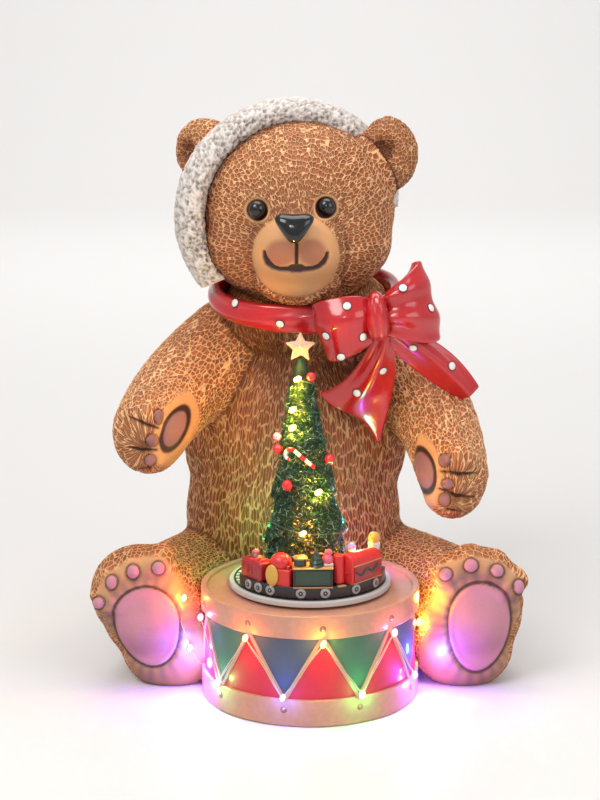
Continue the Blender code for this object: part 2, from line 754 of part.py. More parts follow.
def train():
    """The little train, one casting on its skirt."""
    skirt = train_skirt()
    sunk = SKIRT_HEIGHT * 0.06
    deck = SKIRT_HEIGHT - sunk
    top = deck + CAR_HEIGHT - sunk
    side = CAR_WIDTH / 2
    degrees = math.radians
    pieces = [train_wheel(degrees(a)) for a in (-53, -42, -31, -7, 11, 36, 58)]
    # Engine at the left end: ribbed barrel, yellow wreath and round cab
    pieces.append(block_on_track(degrees(-52), CAB_LENGTH, CAR_HEIGHT, deck, bevel=CAR_HEIGHT * 0.15))
    for a in (-60, -52, -44):
        pieces.append(lying_barrel(degrees(a), side * 1.12, CAB_LENGTH * 0.12, deck + CAR_HEIGHT * 0.53))
    pieces.append(column_on_track(degrees(-55), side * 0.32, CAR_HEIGHT * 0.30, top))
    pieces.append(ball_on_track(degrees(-62), (side * 0.67, side * 0.67, side * 0.53), deck + CAR_HEIGHT / 2))
    pieces.append(ball_on_track(
        degrees(-29), (side * 0.75, side * 0.27, CAR_HEIGHT * 0.55), deck + CAR_HEIGHT * 0.53, side,
    ))
    pieces.append(block_on_track(degrees(-25), TENDER_LENGTH, CAR_HEIGHT * 0.87, deck))
    pieces.append(ball_on_track(
        degrees(-26), (TENDER_LENGTH * 0.42, side, CAR_HEIGHT * 0.49), deck + CAR_HEIGHT * 1.07,
    ))
    # Open wagon with presents
    pieces.append(block_on_track(degrees(2), WAGON_LENGTH, CAR_HEIGHT, deck))
    pieces.append(block_on_track(
        degrees(2), WAGON_LENGTH * 0.93, CAR_HEIGHT * 0.78, deck + CAR_HEIGHT * 0.12, PANEL_PROUD * 2, side,
    ))
    pieces.append(block_on_track(degrees(-8), WAGON_LENGTH * 0.33, CAR_HEIGHT * 0.50, top, CAR_WIDTH * 0.60))
    pieces.append(column_on_track(
        degrees(6), side * 0.80, CAR_HEIGHT * 0.80, top, side * 0.27, side * 0.08, 10,
    ))
    pieces.append(block_on_track(degrees(14), WAGON_LENGTH * 0.24, CAR_HEIGHT * 0.57, top, CAR_WIDTH * 0.53))
    # Red lantern between the wagons
    pieces.append(column_on_track(
        degrees(25), side * 0.56, LANTERN_HEIGHT, deck - sunk, side * 0.13, side * 0.51,
    ))
    # Round-topped coach with its framed side
    pieces.append(block_on_track(degrees(48), COACH_LENGTH, CAR_HEIGHT, deck))
    pieces.append(lying_barrel(
        degrees(48), CAR_WIDTH * 0.52, COACH_LENGTH * 1.02, deck + CAR_HEIGHT * 0.9, degrees(-4),
    ))
    pieces.append(block_on_track(
        degrees(48), COACH_LENGTH * 0.91, CAR_HEIGHT * 0.86, deck + CAR_HEIGHT * 0.05, PANEL_PROUD * 2, side,
    ))
    # End post with its lamp
    post = LAMP_RADIUS * 1.66
    pieces.append(block_on_track(degrees(79), post, LAMP_POST_HEIGHT, SKIRT_HEIGHT * 0.12, post * 1.14))
    pieces.append(column_on_track(
        degrees(77), LAMP_RADIUS * 0.95, LAMP_RADIUS * 1.43, LAMP_POST_HEIGHT - sunk, 0.0, LAMP_RADIUS * 1.09,
    ))
    pieces.append(ball_on_track(degrees(77), (LAMP_RADIUS,) * 3, LAMP_POST_HEIGHT + LAMP_RADIUS * 1.79))
    fuse(skirt, pieces, solver="MANIFOLD")
    skirt.name = "train"
    dress(skirt, paint("train_red", (0.62, 0.03, 0.03), 0.35))
    return skirt


# Tree, star and what hangs on it

TREE_FOOT = PLATE_TOP + GAP


def tree_envelope(height):
    """Outer radius of the tree at a height above its foot."""
    share = min(max(height / TREE_HEIGHT, 0.0), 1.0)
    return TREE_RADIUS + (TREE_TIP_RADIUS - TREE_RADIUS) * share ** 0.92


def on_tree(angle, height, radius):
    """A place beside the tree's axis, which leans a little."""
    return DRUM_CENTRE + Vector((
        TREE_SIDEWAYS + TREE_LEAN * height + radius * math.sin(angle),
        -radius * math.cos(angle),
        TREE_FOOT + height,
    ))


def tree():
    """Stacked tinsel skirts, each flared below and drawn in above."""
    shape = bmesh.new()
    sides = 16
    rings = []
    tier = TREE_HEIGHT / TREE_TIERS
    for k in range(TREE_TIERS):
        low = k * tier
        for share, flare in ((0.0, 0.80), (0.12, 1.0), (0.75, 0.80)):
            height = low + share * tier
            radius = tree_envelope(height) * flare if k or share else tree_envelope(0) * 0.9
            rings.append((height, radius))
    rings.append((TREE_HEIGHT, TREE_TIP_RADIUS * 0.45))
    skin = []
    for height, radius in rings:
        skin.append([
            on_tree(math.tau * i / sides, height, radius * (1 - 0.05 * (i % 2))) for i in range(sides)
        ])
    add_tube(shape, skin, closed=False)
    return to_object(shape, "tree", paint("tinsel_green", (0.03, 0.22, 0.06), 0.5))


def tree_star():
    """A five-pointed star, faceted on both faces, its lower notch over the tree's tip."""
    shape = bmesh.new()
    inner = STAR_RADIUS * 0.46
    centre = on_tree(0.0, TREE_HEIGHT + inner + STAR_SEAT, 0.0)
    rim = []
    for i in range(10):
        angle = math.tau * i / 10
        radius = STAR_RADIUS if i % 2 == 0 else inner
        rim.append(shape.verts.new(centre + Vector((radius * math.sin(angle), 0, radius * math.cos(angle)))))
    for side in (-1, 1):
        peak = shape.verts.new(centre + Vector((0, side * STAR_THICKNESS / 2, 0)))
        for i in range(10):
            shape.faces.new((rim[i], rim[(i + 1) % 10], peak))
    return to_object(shape, "tree_star", paint("star_copper", (0.70, 0.42, 0.30), 0.3, 0.8))


def hung_ball(name, turn, share, scale, material, over_wire=False):
    """A ball that hangs against the tinsel, or over the lit wire that lies on it."""
    shape = bmesh.new()
    height = TREE_HEIGHT * share
    radius = BALL_RADIUS * scale
    stand = DROP_RADIUS + WIRE_RADIUS + 2 * GAP if over_wire else GAP
    place = on_tree(math.radians(turn), height, tree_envelope(height) + radius + stand)
    bmesh.ops.create_uvsphere(
        shape, u_segments=8, v_segments=5, radius=radius, matrix=Matrix.Translation(place),
    )
    return to_object(shape, name, material)


def candy_cane(name, turn, share, material):
    """A cane with a hooked top, lying aslant on the tinsel."""
    shape = bmesh.new()
    sides = 6
    angle = math.radians(turn)
    height = TREE_HEIGHT * share
    length, radius = CANE_LENGTH, CANE_RADIUS
    hook = length * 0.16
    line = [Vector((0, 0, -length / 2)), Vector((0, 0, 0)), Vector((0, 0, length / 2 - hook))]
    for k in range(1, 5):
        a = math.pi * k / 4
        line.append(Vector((hook - hook * math.cos(a), 0, length / 2 - hook + hook * math.sin(a))))
    tilt = Matrix.Rotation(math.radians(-50), 4, "Y")
    stand = tree_envelope(height) + radius * 2 + GAP
    place = Matrix.Translation(on_tree(angle, height, stand)) @ Matrix.Rotation(angle, 4, "Z") @ tilt
    rings = []
    for i, point in enumerate(line):
        ahead = (line[min(i + 1, len(line) - 1)] - line[max(i - 1, 0)]).normalized()
        side = Vector((0, 1, 0))
        other = ahead.cross(side)
        rings.append([
            place @ (point + (side * math.cos(math.tau * k / sides) + other * math.sin(math.tau * k / sides)) * radius)
            for k in range(sides)
        ])
    add_tube(shape, rings, closed=False)
    return to_object(shape, name, material)


def ornaments():
    """Balls and a cane on the front of the tree; heights are shares of the tree's own."""
    red = paint("ornament_red", (0.70, 0.02, 0.03), 0.15)
    pink = paint("ornament_pink", (0.75, 0.35, 0.55), 0.2)
    lilac = paint("ornament_lilac", (0.5, 0.45, 0.75), 0.2)
    hung_ball("ornament_red_top", 38, 0.9275, 0.94, red)
    hung_ball("ornament_red_left", -62, 0.604, 1.0, red)
    hung_ball("ornament_red_middle", -26, 0.465, 1.06, red, over_wire=True)
    hung_ball("ornament_red_right", 58, 0.562, 1.0, red)
    hung_ball("ornament_pink", -75, 0.653, 0.89, pink)
    hung_ball("ornament_lavender", 72, 0.157, 1.0, lilac)
    candy_cane("candy_cane", -3, 0.583, paint("cane_white", (0.85, 0.80, 0.78), 0.3))


# Light strings

def wire(name, line, material):
    """A thin wire of three sides through a line of points."""
    rings = []
    for i, place in enumerate(line):
        ahead = (line[min(i + 1, len(line) - 1)] - line[max(i - 1, 0)]).normalized()
        out = Vector((place.x - DRUM_CENTRE.x, place.y - DRUM_CENTRE.y, 0.0)).normalized()
        other = ahead.cross(out).normalized()
        out = other.cross(ahead)
        rings.append([
            place + (out * math.cos(math.tau * k / 3) + other * math.sin(math.tau * k / 3)) * WIRE_RADIUS
            for k in range(3)
        ])
    shape = bmesh.new()
    add_tube(shape, rings, closed=False)
    return to_object(shape, name, material)


def light_drop(place, axis):
    """The clear bead over one light."""
    shape = bmesh.new()
    turn = axis.to_track_quat("Z", "Y").to_matrix()
    bmesh.ops.create_uvsphere(
        shape, u_segments=5, v_segments=3, radius=1.0,
        matrix=Matrix.Translation(place) @ turn.to_4x4()
        @ Matrix.Diagonal((DROP_RADIUS, DROP_RADIUS, DROP_LENGTH / 2, 1.0)),
    )
    return to_object(shape, "light_drop")


def drum_light_string():
    """The lit wire that follows the drum's laces, a drop at each turn."""
    clear = DRUM_RADIUS + HOOP_PROUD + RIVET_RADIUS * 0.2 + GAP + DROP_RADIUS
    points = zigzag_points()[1:]
    line = []
    pieces = 3
    for (a, a_top), (b, b_top) in zip(points, points[1:]):
        for i in range(pieces):
            t = i / pieces
            low, high = drop_height(a_top), drop_height(b_top)
            line.append(on_drum(a + (b - a) * t, low + (high - low) * t, clear))
    line.append(on_drum(points[-1][0], drop_height(points[-1][1]), clear))
    glass = paint("light_wire", (0.75, 0.72, 0.60), 0.3)
    string = wire("drum_light_string", line, glass)
    drops = []
    for angle, is_top in points:
        slope = Vector((math.cos(angle) * 0.35, math.sin(angle) * 0.35, 1.0))
        drops.append(light_drop(on_drum(angle, drop_height(is_top), clear), slope))
    fuse(string, drops)
    dress(string, glass)
    return string


def drop_height(is_top):
    """Height of a light drop beside the lace's end."""
    away = DROP_LENGTH * 0.55
    return lace_height(is_top) - away if is_top else lace_height(is_top) + away


# The tree's lights: each one's turn in degrees, and its height as a share of the tree's
TREE_LIGHTS = ((-14, 0.918), (-28, 0.785), (-26, 0.707), (24, 0.429), (-4, 0.254), (70, 0.121))


def tree_light_string():
    """The lit wire wound down the tree, a drop at each turn's front."""
    line = []
    turn_steps = 9
    lights = [(turn, share * TREE_HEIGHT) for turn, share in TREE_LIGHTS]
    for (a, high), (b, low) in zip(lights, lights[1:]):
        sweep = math.tau + math.radians(b - a)
        for i in range(turn_steps):
            t = i / turn_steps
            height = high + (low - high) * t
            stand = tree_envelope(height) + GAP + DROP_RADIUS
            line.append(on_tree(math.radians(a) + sweep * t, height, stand))
    a, low = lights[-1]
    line.append(on_tree(math.radians(a), low, tree_envelope(low) + GAP + DROP_RADIUS))
    glass = paint("tree_light_wire", (0.10, 0.25, 0.10), 0.4)
    string = wire("tree_light_string", line, glass)
    drops = []
    for angle, height in lights:
        place = on_tree(math.radians(angle), height, tree_envelope(height) + GAP + DROP_RADIUS)
        drops.append(light_drop(place, Vector((math.cos(math.radians(angle)), 0.0, 0.6))))
    fuse(string, drops)
    dress(string, glass)
    return string


def main():
    clear_scene()
    bear()
    track_plate()
    train()
    tree()
    tree_star()
    ornaments()
    drum_light_string()
    tree_light_string()


main()
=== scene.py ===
"""Looks of a light-up bear figure: carved and painted resin bear, drum, train and lit tinsel tree.

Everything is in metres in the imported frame: +Z up, the bear faces -Y, the floor is at zero.
"""

import json
import math

import bmesh
import bpy
import numpy as np
from bpy.props import FloatProperty, FloatVectorProperty, IntProperty, PointerProperty
from mathutils import Matrix, Vector

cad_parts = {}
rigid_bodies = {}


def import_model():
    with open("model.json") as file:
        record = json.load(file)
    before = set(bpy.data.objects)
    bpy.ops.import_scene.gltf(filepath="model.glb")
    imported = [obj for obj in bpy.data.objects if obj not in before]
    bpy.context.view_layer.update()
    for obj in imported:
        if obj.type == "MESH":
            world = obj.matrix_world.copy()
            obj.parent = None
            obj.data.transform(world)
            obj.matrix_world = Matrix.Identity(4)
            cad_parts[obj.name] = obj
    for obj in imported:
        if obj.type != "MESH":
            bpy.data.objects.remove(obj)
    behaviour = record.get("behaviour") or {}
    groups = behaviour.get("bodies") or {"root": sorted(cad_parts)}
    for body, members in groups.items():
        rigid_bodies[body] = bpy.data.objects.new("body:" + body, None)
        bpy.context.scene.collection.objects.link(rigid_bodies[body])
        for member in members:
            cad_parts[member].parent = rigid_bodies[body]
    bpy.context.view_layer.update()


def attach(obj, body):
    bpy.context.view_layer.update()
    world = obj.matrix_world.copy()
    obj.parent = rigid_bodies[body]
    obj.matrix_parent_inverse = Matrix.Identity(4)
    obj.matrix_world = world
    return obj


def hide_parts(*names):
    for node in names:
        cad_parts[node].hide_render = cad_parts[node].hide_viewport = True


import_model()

bl_info = {
    "name": "Light-up bear figure",
    "version": (1, 0, 0),
    "blender": (4, 5, 0),
    "location": "View3D > Sidebar > Bear figure",
    "description": "Builds the carved, painted and lit surfaces of a seated bear figure",
    "category": "Object",
}

MM = 0.001

# The reference view: its frame in pixels, the sensor and lens in millimetres, the place in metres
FRAME_WIDE, FRAME_TALL = 600.0, 800.0
SENSOR = 36.0
CAMERA_PLACE = (-0.0074, -1.631, 0.586)
CAMERA_PITCH = math.radians(76.87)
CAMERA_LENS = 99.8


def colour_prop(name, description, default):
    return FloatVectorProperty(
        name=name, description=description, default=default, subtype="COLOR", size=3, min=0.0, max=1.0,
    )


def length_prop(name, description, default):
    return FloatProperty(name=name, description=description, default=default, unit="LENGTH", min=0.0)


class BearFigureSkin(bpy.types.PropertyGroup):
    """Sizes and colours of the carved skin."""

    grain: length_prop("Form grain", "Grid of the smooth form before it is refined", 0.0036)
    torso_relief: length_prop("Belly relief", "Depth of the cells carved in the belly", 0.0011)
    fur_relief: length_prop("Fur relief", "Depth of the cells carved in head and limbs", 0.00075)
    ridge: colour_prop("Ridges", "Worn light paint on the net of ridges", (0.95, 0.52, 0.25))
    recess: colour_prop("Recesses", "Dark wash left in the cells", (0.37, 0.105, 0.030))
    bare: colour_prop("Bare skin", "Smooth muzzle and hands", (0.66, 0.33, 0.14))
    lobe: colour_prop("Muzzle lobes", "Pinkish brown round the mouth", (0.42, 0.16, 0.085))
    sole: colour_prop("Soles", "Grey-brown wash of the soles", (0.30, 0.17, 0.12))
    pad: colour_prop("Sole pads", "Pink of the pads underfoot", (0.54, 0.23, 0.30))
    palm: colour_prop("Palms", "Browner pink of the pads in the hands", (0.28, 0.125, 0.125))
    ink: colour_prop("Ink", "Dark wash round pads, mouth and eyes", (0.045, 0.014, 0.012))


class BearFigureDress(bpy.types.PropertyGroup):
    """Sizes and colours of hat, scarf and bow."""

    hat_white: colour_prop("Hat fur", "White of the hat's brim and bobble", (0.76, 0.70, 0.65))
    hat_red: colour_prop("Hat cloth", "Red of the hat's cloth", (0.55, 0.05, 0.07))
    bow_red: colour_prop("Bow", "Glossy red of scarf and bow", (0.50, 0.008, 0.014))
    dot: colour_prop("Dots", "White of the raised dots", (0.82, 0.80, 0.77))
    pit: length_prop("Brim pits", "Depth of the pits in the brim", 0.0026)
    dot_radius: length_prop("Dot radius", "Radius of the raised dots", 0.0031)


class BearFigureDrum(bpy.types.PropertyGroup):
    """Colours of the drum, the plate and the train."""

    rose: colour_prop("Hoops", "Rose tan of the hoops", (0.56, 0.27, 0.18))
    green: colour_prop("Green panel", "Paint of every second hanging triangle", (0.045, 0.13, 0.085))
    # Painted light: these triangles are green paint; their grey-blue colour stands in for the blue light of
    # the beads on them
    blue_lit_green: colour_prop("Slate panel", "Paint of the other hanging triangles", (0.055, 0.085, 0.13))
    red: colour_prop("Red panel", "Paint of the standing triangles", (0.58, 0.012, 0.035))
    lace: colour_prop("Laces", "Tan of the laces", (0.62, 0.36, 0.25))
    rivet: colour_prop("Rivets", "Rose metal of the rivets", (0.55, 0.26, 0.19))
    shade: colour_prop("Rivet rings", "Dark wash round the rivets", (0.20, 0.09, 0.06))
    plate: colour_prop("Plate", "Pale grey of the plate", (0.56, 0.53, 0.50))
    bed: colour_prop("Track bed", "Dark wash between the sleepers", (0.05, 0.06, 0.05))
    sleeper: colour_prop("Sleepers", "Off-white of the sleepers", (0.70, 0.66, 0.58))
    black: colour_prop("Train black", "Black of the train's bed", (0.012, 0.010, 0.012))
    grey: colour_prop("Wheels", "Silver grey of the wheels", (0.36, 0.36, 0.38))
    dark_red: colour_prop("Dark red", "Deep red of the engine", (0.33, 0.012, 0.018))
    train_red: colour_prop("Train red", "Bright red of the coach", (0.72, 0.022, 0.018))
    ochre: colour_prop("Ochre", "Yellow of the wreath and the lamp", (0.62, 0.36, 0.06))
    gold: colour_prop("Gold", "Gold of the frames", (0.62, 0.36, 0.15))
    pine: colour_prop("Pine", "Dark green of panels and garland", (0.022, 0.055, 0.030))
    pink: colour_prop("Pink", "Pink of the presents", (0.66, 0.10, 0.16))


class BearFigureTree(bpy.types.PropertyGroup):
    """Number of needles, and colours of the tree and the lights."""

    needles: IntProperty(name="Needles", description="Number of foil needles", default=90000, min=100)
    green: colour_prop("Tinsel", "Green of the foil", (0.020, 0.13, 0.045))
    dark: colour_prop("Deep tinsel", "Green of the foil's shaded side", (0.004, 0.030, 0.012))
    copper: colour_prop("Star", "Copper of the star", (0.72, 0.36, 0.24))
    red: colour_prop("Balls", "Red of the hanging balls", (0.62, 0.012, 0.020))
    rose: colour_prop("Pink ball", "Pink of one ball", (0.70, 0.30, 0.50))
    lilac: colour_prop("Lilac ball", "Lilac of one ball", (0.45, 0.42, 0.72))
    cane: colour_prop("Cane", "White of the cane", (0.80, 0.76, 0.72))
    wire: colour_prop("Wire", "Pale lacquer of the drum's wire", (0.70, 0.55, 0.38))


def at(x, y, z):
    """A place from millimetres."""
    return Vector((x, y, z)) * MM


def settings():
    return bpy.context.scene.bear_figure


# Working with objects

def deselect():
    if bpy.context.object and bpy.context.object.mode != "OBJECT":
        bpy.ops.object.mode_set(mode="OBJECT")
    bpy.ops.object.select_all(action="DESELECT")


def pick(thing):
    deselect()
    thing.select_set(True)
    bpy.context.view_layer.objects.active = thing
    return thing


def settle(thing, name=None):
    """Put an object's place into its mesh."""
    pick(thing)
    bpy.ops.object.transform_apply(location=True, rotation=True, scale=True)
    if name:
        thing.name = name
        thing.data.name = name
    return thing


def linked(name, data):
    """A new object of the scene round its mesh, curve or lamp."""
    thing = bpy.data.objects.new(name, data)
    bpy.context.scene.collection.objects.link(thing)
    return thing


def shaped(name, shape, angle):
    """The object of a finished bmesh, smooth where its faces meet at less than the angle."""
    mesh = bpy.data.meshes.new(name)
    shape.to_mesh(mesh)
    shape.free()
    return smooth(linked(name, mesh), angle)


def modified(thing, kind, **values):
    """Add a modifier and apply it."""
    pick(thing)
    step = thing.modifiers.new(kind.lower(), kind)
    for key, value in values.items():
        setattr(step, key, value)
    bpy.ops.object.modifier_apply(modifier=step.name)
    return thing


def joined(things, name):
    """Join objects into one."""
    deselect()
    for thing in things:
        thing.select_set(True)
    bpy.context.view_layer.objects.active = things[0]
    if len(things) > 1:
        bpy.ops.object.join()
    return settle(bpy.context.view_layer.objects.active, name)


def smooth(thing, angle=None):
    pick(thing)
    if angle is None:
        bpy.ops.object.shade_smooth()
    else:
        bpy.ops.object.shade_smooth_by_angle(angle=math.radians(angle))
    return thing


def wear(piece, material, node=None):
    """Give a finished piece its finish and its place on the body, and hide the imported part it stands for,
    if any.
    """
    if material is not None:
        piece.data.materials.clear()
        piece.data.materials.append(material)
    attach(piece, "root")
    if node:
        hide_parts(node)
    return piece


def ball(centre, radii, turn=(0.0, 0.0, 0.0), detail=3):
    """An ellipsoid of the smooth form, in millimetres."""
    bpy.ops.mesh.primitive_ico_sphere_add(
        subdivisions=detail, radius=1.0, location=at(*centre), rotation=turn,
        scale=[r * MM for r in radii],
    )
    return settle(bpy.context.object)


def bead(place, scale, turn=(0.0, 0.0, 0.0), segments=20, rings=12):
    """A sphere stretched and turned at its place, in metres."""
    bpy.ops.mesh.primitive_uv_sphere_add(
        segments=segments, ring_count=rings, radius=1.0, location=place, rotation=turn, scale=scale,
    )
    return settle(bpy.context.object)


def blend3(path, t):
    """A value on the quadratic curve through three values."""
    weights = ((1 - t) * (1 - 2 * t), 4 * t * (1 - t), t * (2 * t - 1))
    return sum(w * np.asarray(p, float) for w, p in zip(weights, path))


def limb(path, radii, steps=9):
    return [
        ball(blend3(path, i / steps), [float(blend3(radii, i / steps))] * 3) for i in range(steps + 1)
    ]


def points_of(thing, field="co"):
    values = np.empty(len(thing.data.vertices) * 3)
    thing.data.vertices.foreach_get(field, values)
    return values.reshape(-1, 3)


def place_points(thing, points):
    thing.data.vertices.foreach_set("co", np.asarray(points, float).ravel())
    thing.data.update()


def store(thing, name, kind, field, values, domain="POINT"):
    """Keep a vector or a colour per point, or per corner, for the finish to read."""
    attribute = thing.data.attributes.new(name, kind, domain)
    attribute.data.foreach_set(field, values.astype(np.float32).ravel())


def mark(thing, name, values):
    """Store one number per point for the finish to read."""
    attribute = thing.data.attributes.get(name) or thing.data.attributes.new(name, "FLOAT", "POINT")
    attribute.data.foreach_set("value", np.asarray(values, np.float32))


def reading(thing, name):
    values = np.empty(len(thing.data.vertices), np.float32)
    thing.data.attributes[name].data.foreach_get("value", values)
    return values


# Materials

def group_socket(group, name, kind, output=False, default=None):
    socket = group.interface.new_socket(
        name=name, in_out="OUTPUT" if output else "INPUT", socket_type=f"NodeSocket{kind}",
    )
    if default is not None:
        socket.default_value = default
    return socket


def dial(node, values):
    """Set values on a node's own sockets."""
    for socket, value in values.items():
        node.inputs[socket].default_value = value
    return node


def added(nodes, kind, values=(), **settings_of_it):
    """A new node with its settings and its sockets' values."""
    node = nodes.new(kind)
    for key, value in settings_of_it.items():
        setattr(node, key, value)
    return dial(node, dict(values))


def grain_group():
    """Fine grain and slow mottling for painted resin, as a factor round one and a height."""
    group = bpy.data.node_groups.get("painted_grain")
    if group:
        return group
    group = bpy.data.node_groups.new("painted_grain", "ShaderNodeTree")
    group_socket(group, "Colour", "Color", default=(0.5, 0.5, 0.5, 1.0))
    group_socket(group, "Grain Scale", "Float", default=900.0)
    group_socket(group, "Mottle Scale", "Float", default=45.0)
    group_socket(group, "Mottle", "Float", default=0.25)
    group_socket(group, "Colour", "Color", output=True)
    group_socket(group, "Height", "Float", output=True)
    group_socket(group, "Roughness", "Float", output=True)
    nodes, links = group.nodes, group.links
    start, end = nodes.new("NodeGroupInput"), nodes.new("NodeGroupOutput")
    place = nodes.new("ShaderNodeTexCoord")
    both = added(nodes, "ShaderNodeMath", operation="ADD")
    fine = added(nodes, "ShaderNodeTexNoise", {"Detail": 3.0})
    slow = added(nodes, "ShaderNodeTexNoise", {"Detail": 4.0})
    for term, (noise, scale) in enumerate(((fine, "Grain Scale"), (slow, "Mottle Scale"))):
        links.new(place.outputs["Object"], noise.inputs["Vector"])
        links.new(start.outputs[scale], noise.inputs["Scale"])
        links.new(noise.outputs["Fac"], both.inputs[term])
    centred = added(nodes, "ShaderNodeMath", {1: 1.0}, operation="SUBTRACT")
    links.new(both.outputs[0], centred.inputs[0])
    scaled = added(nodes, "ShaderNodeMath", {2: 1.0}, operation="MULTIPLY_ADD")
    links.new(centred.outputs[0], scaled.inputs[0])
    links.new(start.outputs["Mottle"], scaled.inputs[1])
    tint = added(nodes, "ShaderNodeVectorMath", operation="SCALE")
    links.new(start.outputs["Colour"], tint.inputs[0])
    links.new(scaled.outputs[0], tint.inputs["Scale"])
    links.new(tint.outputs[0], end.inputs["Colour"])
    links.new(fine.outputs["Fac"], end.inputs["Height"])
    rough = added(nodes, "ShaderNodeMapRange", {"To Min": 0.38, "To Max": 0.72})
    links.new(slow.outputs["Fac"], rough.inputs["Value"])
    links.new(rough.outputs[0], end.inputs["Roughness"])
    return group


def new_material(name):
    material = bpy.data.materials.new(name)
    material.use_nodes = True
    tree = material.node_tree
    return material, tree.nodes, tree.links, tree.nodes["Principled BSDF"]


def mixed(nodes, links, factor, low, high):
    """A colour between two, each a socket or an (r, g, b)."""
    mix = nodes.new("ShaderNodeMix")
    mix.data_type = "RGBA"
    for socket, value in (("A_Color", low), ("B_Color", high)):
        target = next(s for s in mix.inputs if s.identifier == socket)
        if isinstance(value, bpy.types.NodeSocket):
            links.new(value, target)
        else:
            target.default_value = (*value, 1.0)
    factor_in = next(s for s in mix.inputs if s.identifier == "Factor_Float")
    if isinstance(factor, bpy.types.NodeSocket):
        links.new(factor, factor_in)
    else:
        factor_in.default_value = factor
    return next(s for s in mix.outputs if s.identifier == "Result_Color")


def attribute_socket(nodes, name, field="Fac"):
    node = nodes.new("ShaderNodeAttribute")
    node.attribute_name = name
    return node.outputs[field]


def add_grain(nodes, links, shader, colour, grain=900.0, mottle_scale=45.0, mottle=0.25, depth=0.0002,
              roughness=True):
    """Run a colour through the painted grain into a shader."""
    amounts = {"Grain Scale": grain, "Mottle Scale": mottle_scale, "Mottle": mottle}
    effect = added(nodes, "ShaderNodeGroup", amounts, node_tree=grain_group())
    if isinstance(colour, bpy.types.NodeSocket):
        links.new(colour, effect.inputs["Colour"])
    else:
        effect.inputs["Colour"].default_value = (*colour, 1.0)
    links.new(effect.outputs["Colour"], shader.inputs["Base Color"])
    if roughness:
        links.new(effect.outputs["Roughness"], shader.inputs["Roughness"])
    raised = added(nodes, "ShaderNodeBump", {"Strength": 0.6, "Distance": depth})
    links.new(effect.outputs["Height"], raised.inputs["Height"])
    links.new(raised.outputs["Normal"], shader.inputs["Normal"])


def plain_paint(name, colour, roughness=0.4, metallic=0.0, grain=700.0, mottle=0.15, depth=0.0001, coat=0.0,
                mottle_scale=45.0):
    """Painted or moulded finish with fine grain."""
    material = bpy.data.materials.get(name)
    if material:
        return material
    material, nodes, links, shader = new_material(name)
    gloss = {"Roughness": roughness, "Metallic": metallic, "Coat Weight": coat, "Coat Roughness": 0.12}
    dial(shader, gloss)
    add_grain(nodes, links, shader, colour, grain, mottle_scale, mottle, depth, roughness=False)
    return material


def net_node(nodes, feature="DISTANCE_TO_EDGE"):
    """The carved net of cells, laid out in each region's own cell space."""
    return added(nodes, "ShaderNodeTexVoronoi", {"Scale": 1.0, "Randomness": 0.78}, feature=feature)


def fur_material():
    """Carved resin fur: dark wash in the cells, light worn paint on the ridges, painted details, and painted
    shade multiplied in per point.
    """
    look = settings().skin
    material, nodes, links, shader = new_material("painted_fur_carved")
    cell = attribute_socket(nodes, "cell", "Vector")
    net, single = net_node(nodes), net_node(nodes, "F1")
    links.new(cell, net.inputs["Vector"])
    links.new(cell, single.inputs["Vector"])
    fall = {"From Min": 0.015, "From Max": 0.165, "To Min": 1.0, "To Max": 0.0}
    rise = added(nodes, "ShaderNodeMapRange", fall, interpolation_type="SMOOTHSTEP")
    links.new(net.outputs["Distance"], rise.inputs["Value"])
    vary = added(nodes, "ShaderNodeMapRange", {"To Min": 0.72, "To Max": 1.28})
    links.new(single.outputs["Color"], vary.inputs["Value"])
    low = added(nodes, "ShaderNodeVectorMath", {0: look.recess}, operation="SCALE")
    links.new(vary.outputs[0], low.inputs["Scale"])
    cells = mixed(nodes, links, rise.outputs[0], low.outputs[0], look.ridge)
    # Painted shade: the cells' colour is multiplied by the stored shading attribute, which also holds random
    # variation
    shade = added(nodes, "ShaderNodeVectorMath", operation="MULTIPLY")
    links.new(cells, shade.inputs[0])
    links.new(attribute_socket(nodes, "tone_and_shade", "Vector"), shade.inputs[1])
    smooth_part = attribute_socket(nodes, "smooth")
    skin = mixed(nodes, links, smooth_part, shade.outputs[0], attribute_socket(nodes, "paint", "Color"))
    inked = mixed(nodes, links, attribute_socket(nodes, "ink"), skin, look.ink)
    add_grain(nodes, links, shader, inked, 1100.0, 38.0, 0.22, 0.00025)
    relief = added(nodes, "ShaderNodeMapRange", {"To Max": 0.0})
    links.new(smooth_part, relief.inputs["Value"])
    links.new(rise.outputs[0], relief.inputs["To Min"])
    fine = shader.inputs["Normal"].links[0].from_node
    carved = added(nodes, "ShaderNodeBump", {"Strength": 1.0, "Distance": 0.0011})
    links.new(relief.outputs[0], carved.inputs["Height"])
    links.new(carved.outputs["Normal"], fine.inputs["Normal"])
    dial(shader, {"Specular IOR Level": 0.4})
    return material


def glow_material(name, colour, strength):
    """A lit drop: bright heart with a coloured skin."""
    material = bpy.data.materials.get(name)
    if material:
        return material
    material, nodes, links, shader = new_material(name)
    edge = added(nodes, "ShaderNodeLayerWeight", {"Blend": 0.35})
    hot = [min(1.0, 0.55 + 0.45 * c) for c in colour]
    links.new(mixed(nodes, links, edge.outputs["Facing"], hot, colour), shader.inputs["Emission Color"])
    dial(shader, {"Base Color": (*colour, 1.0), "Emission Strength": strength, "Roughness": 0.2})
    return material


# Skin: the smooth form

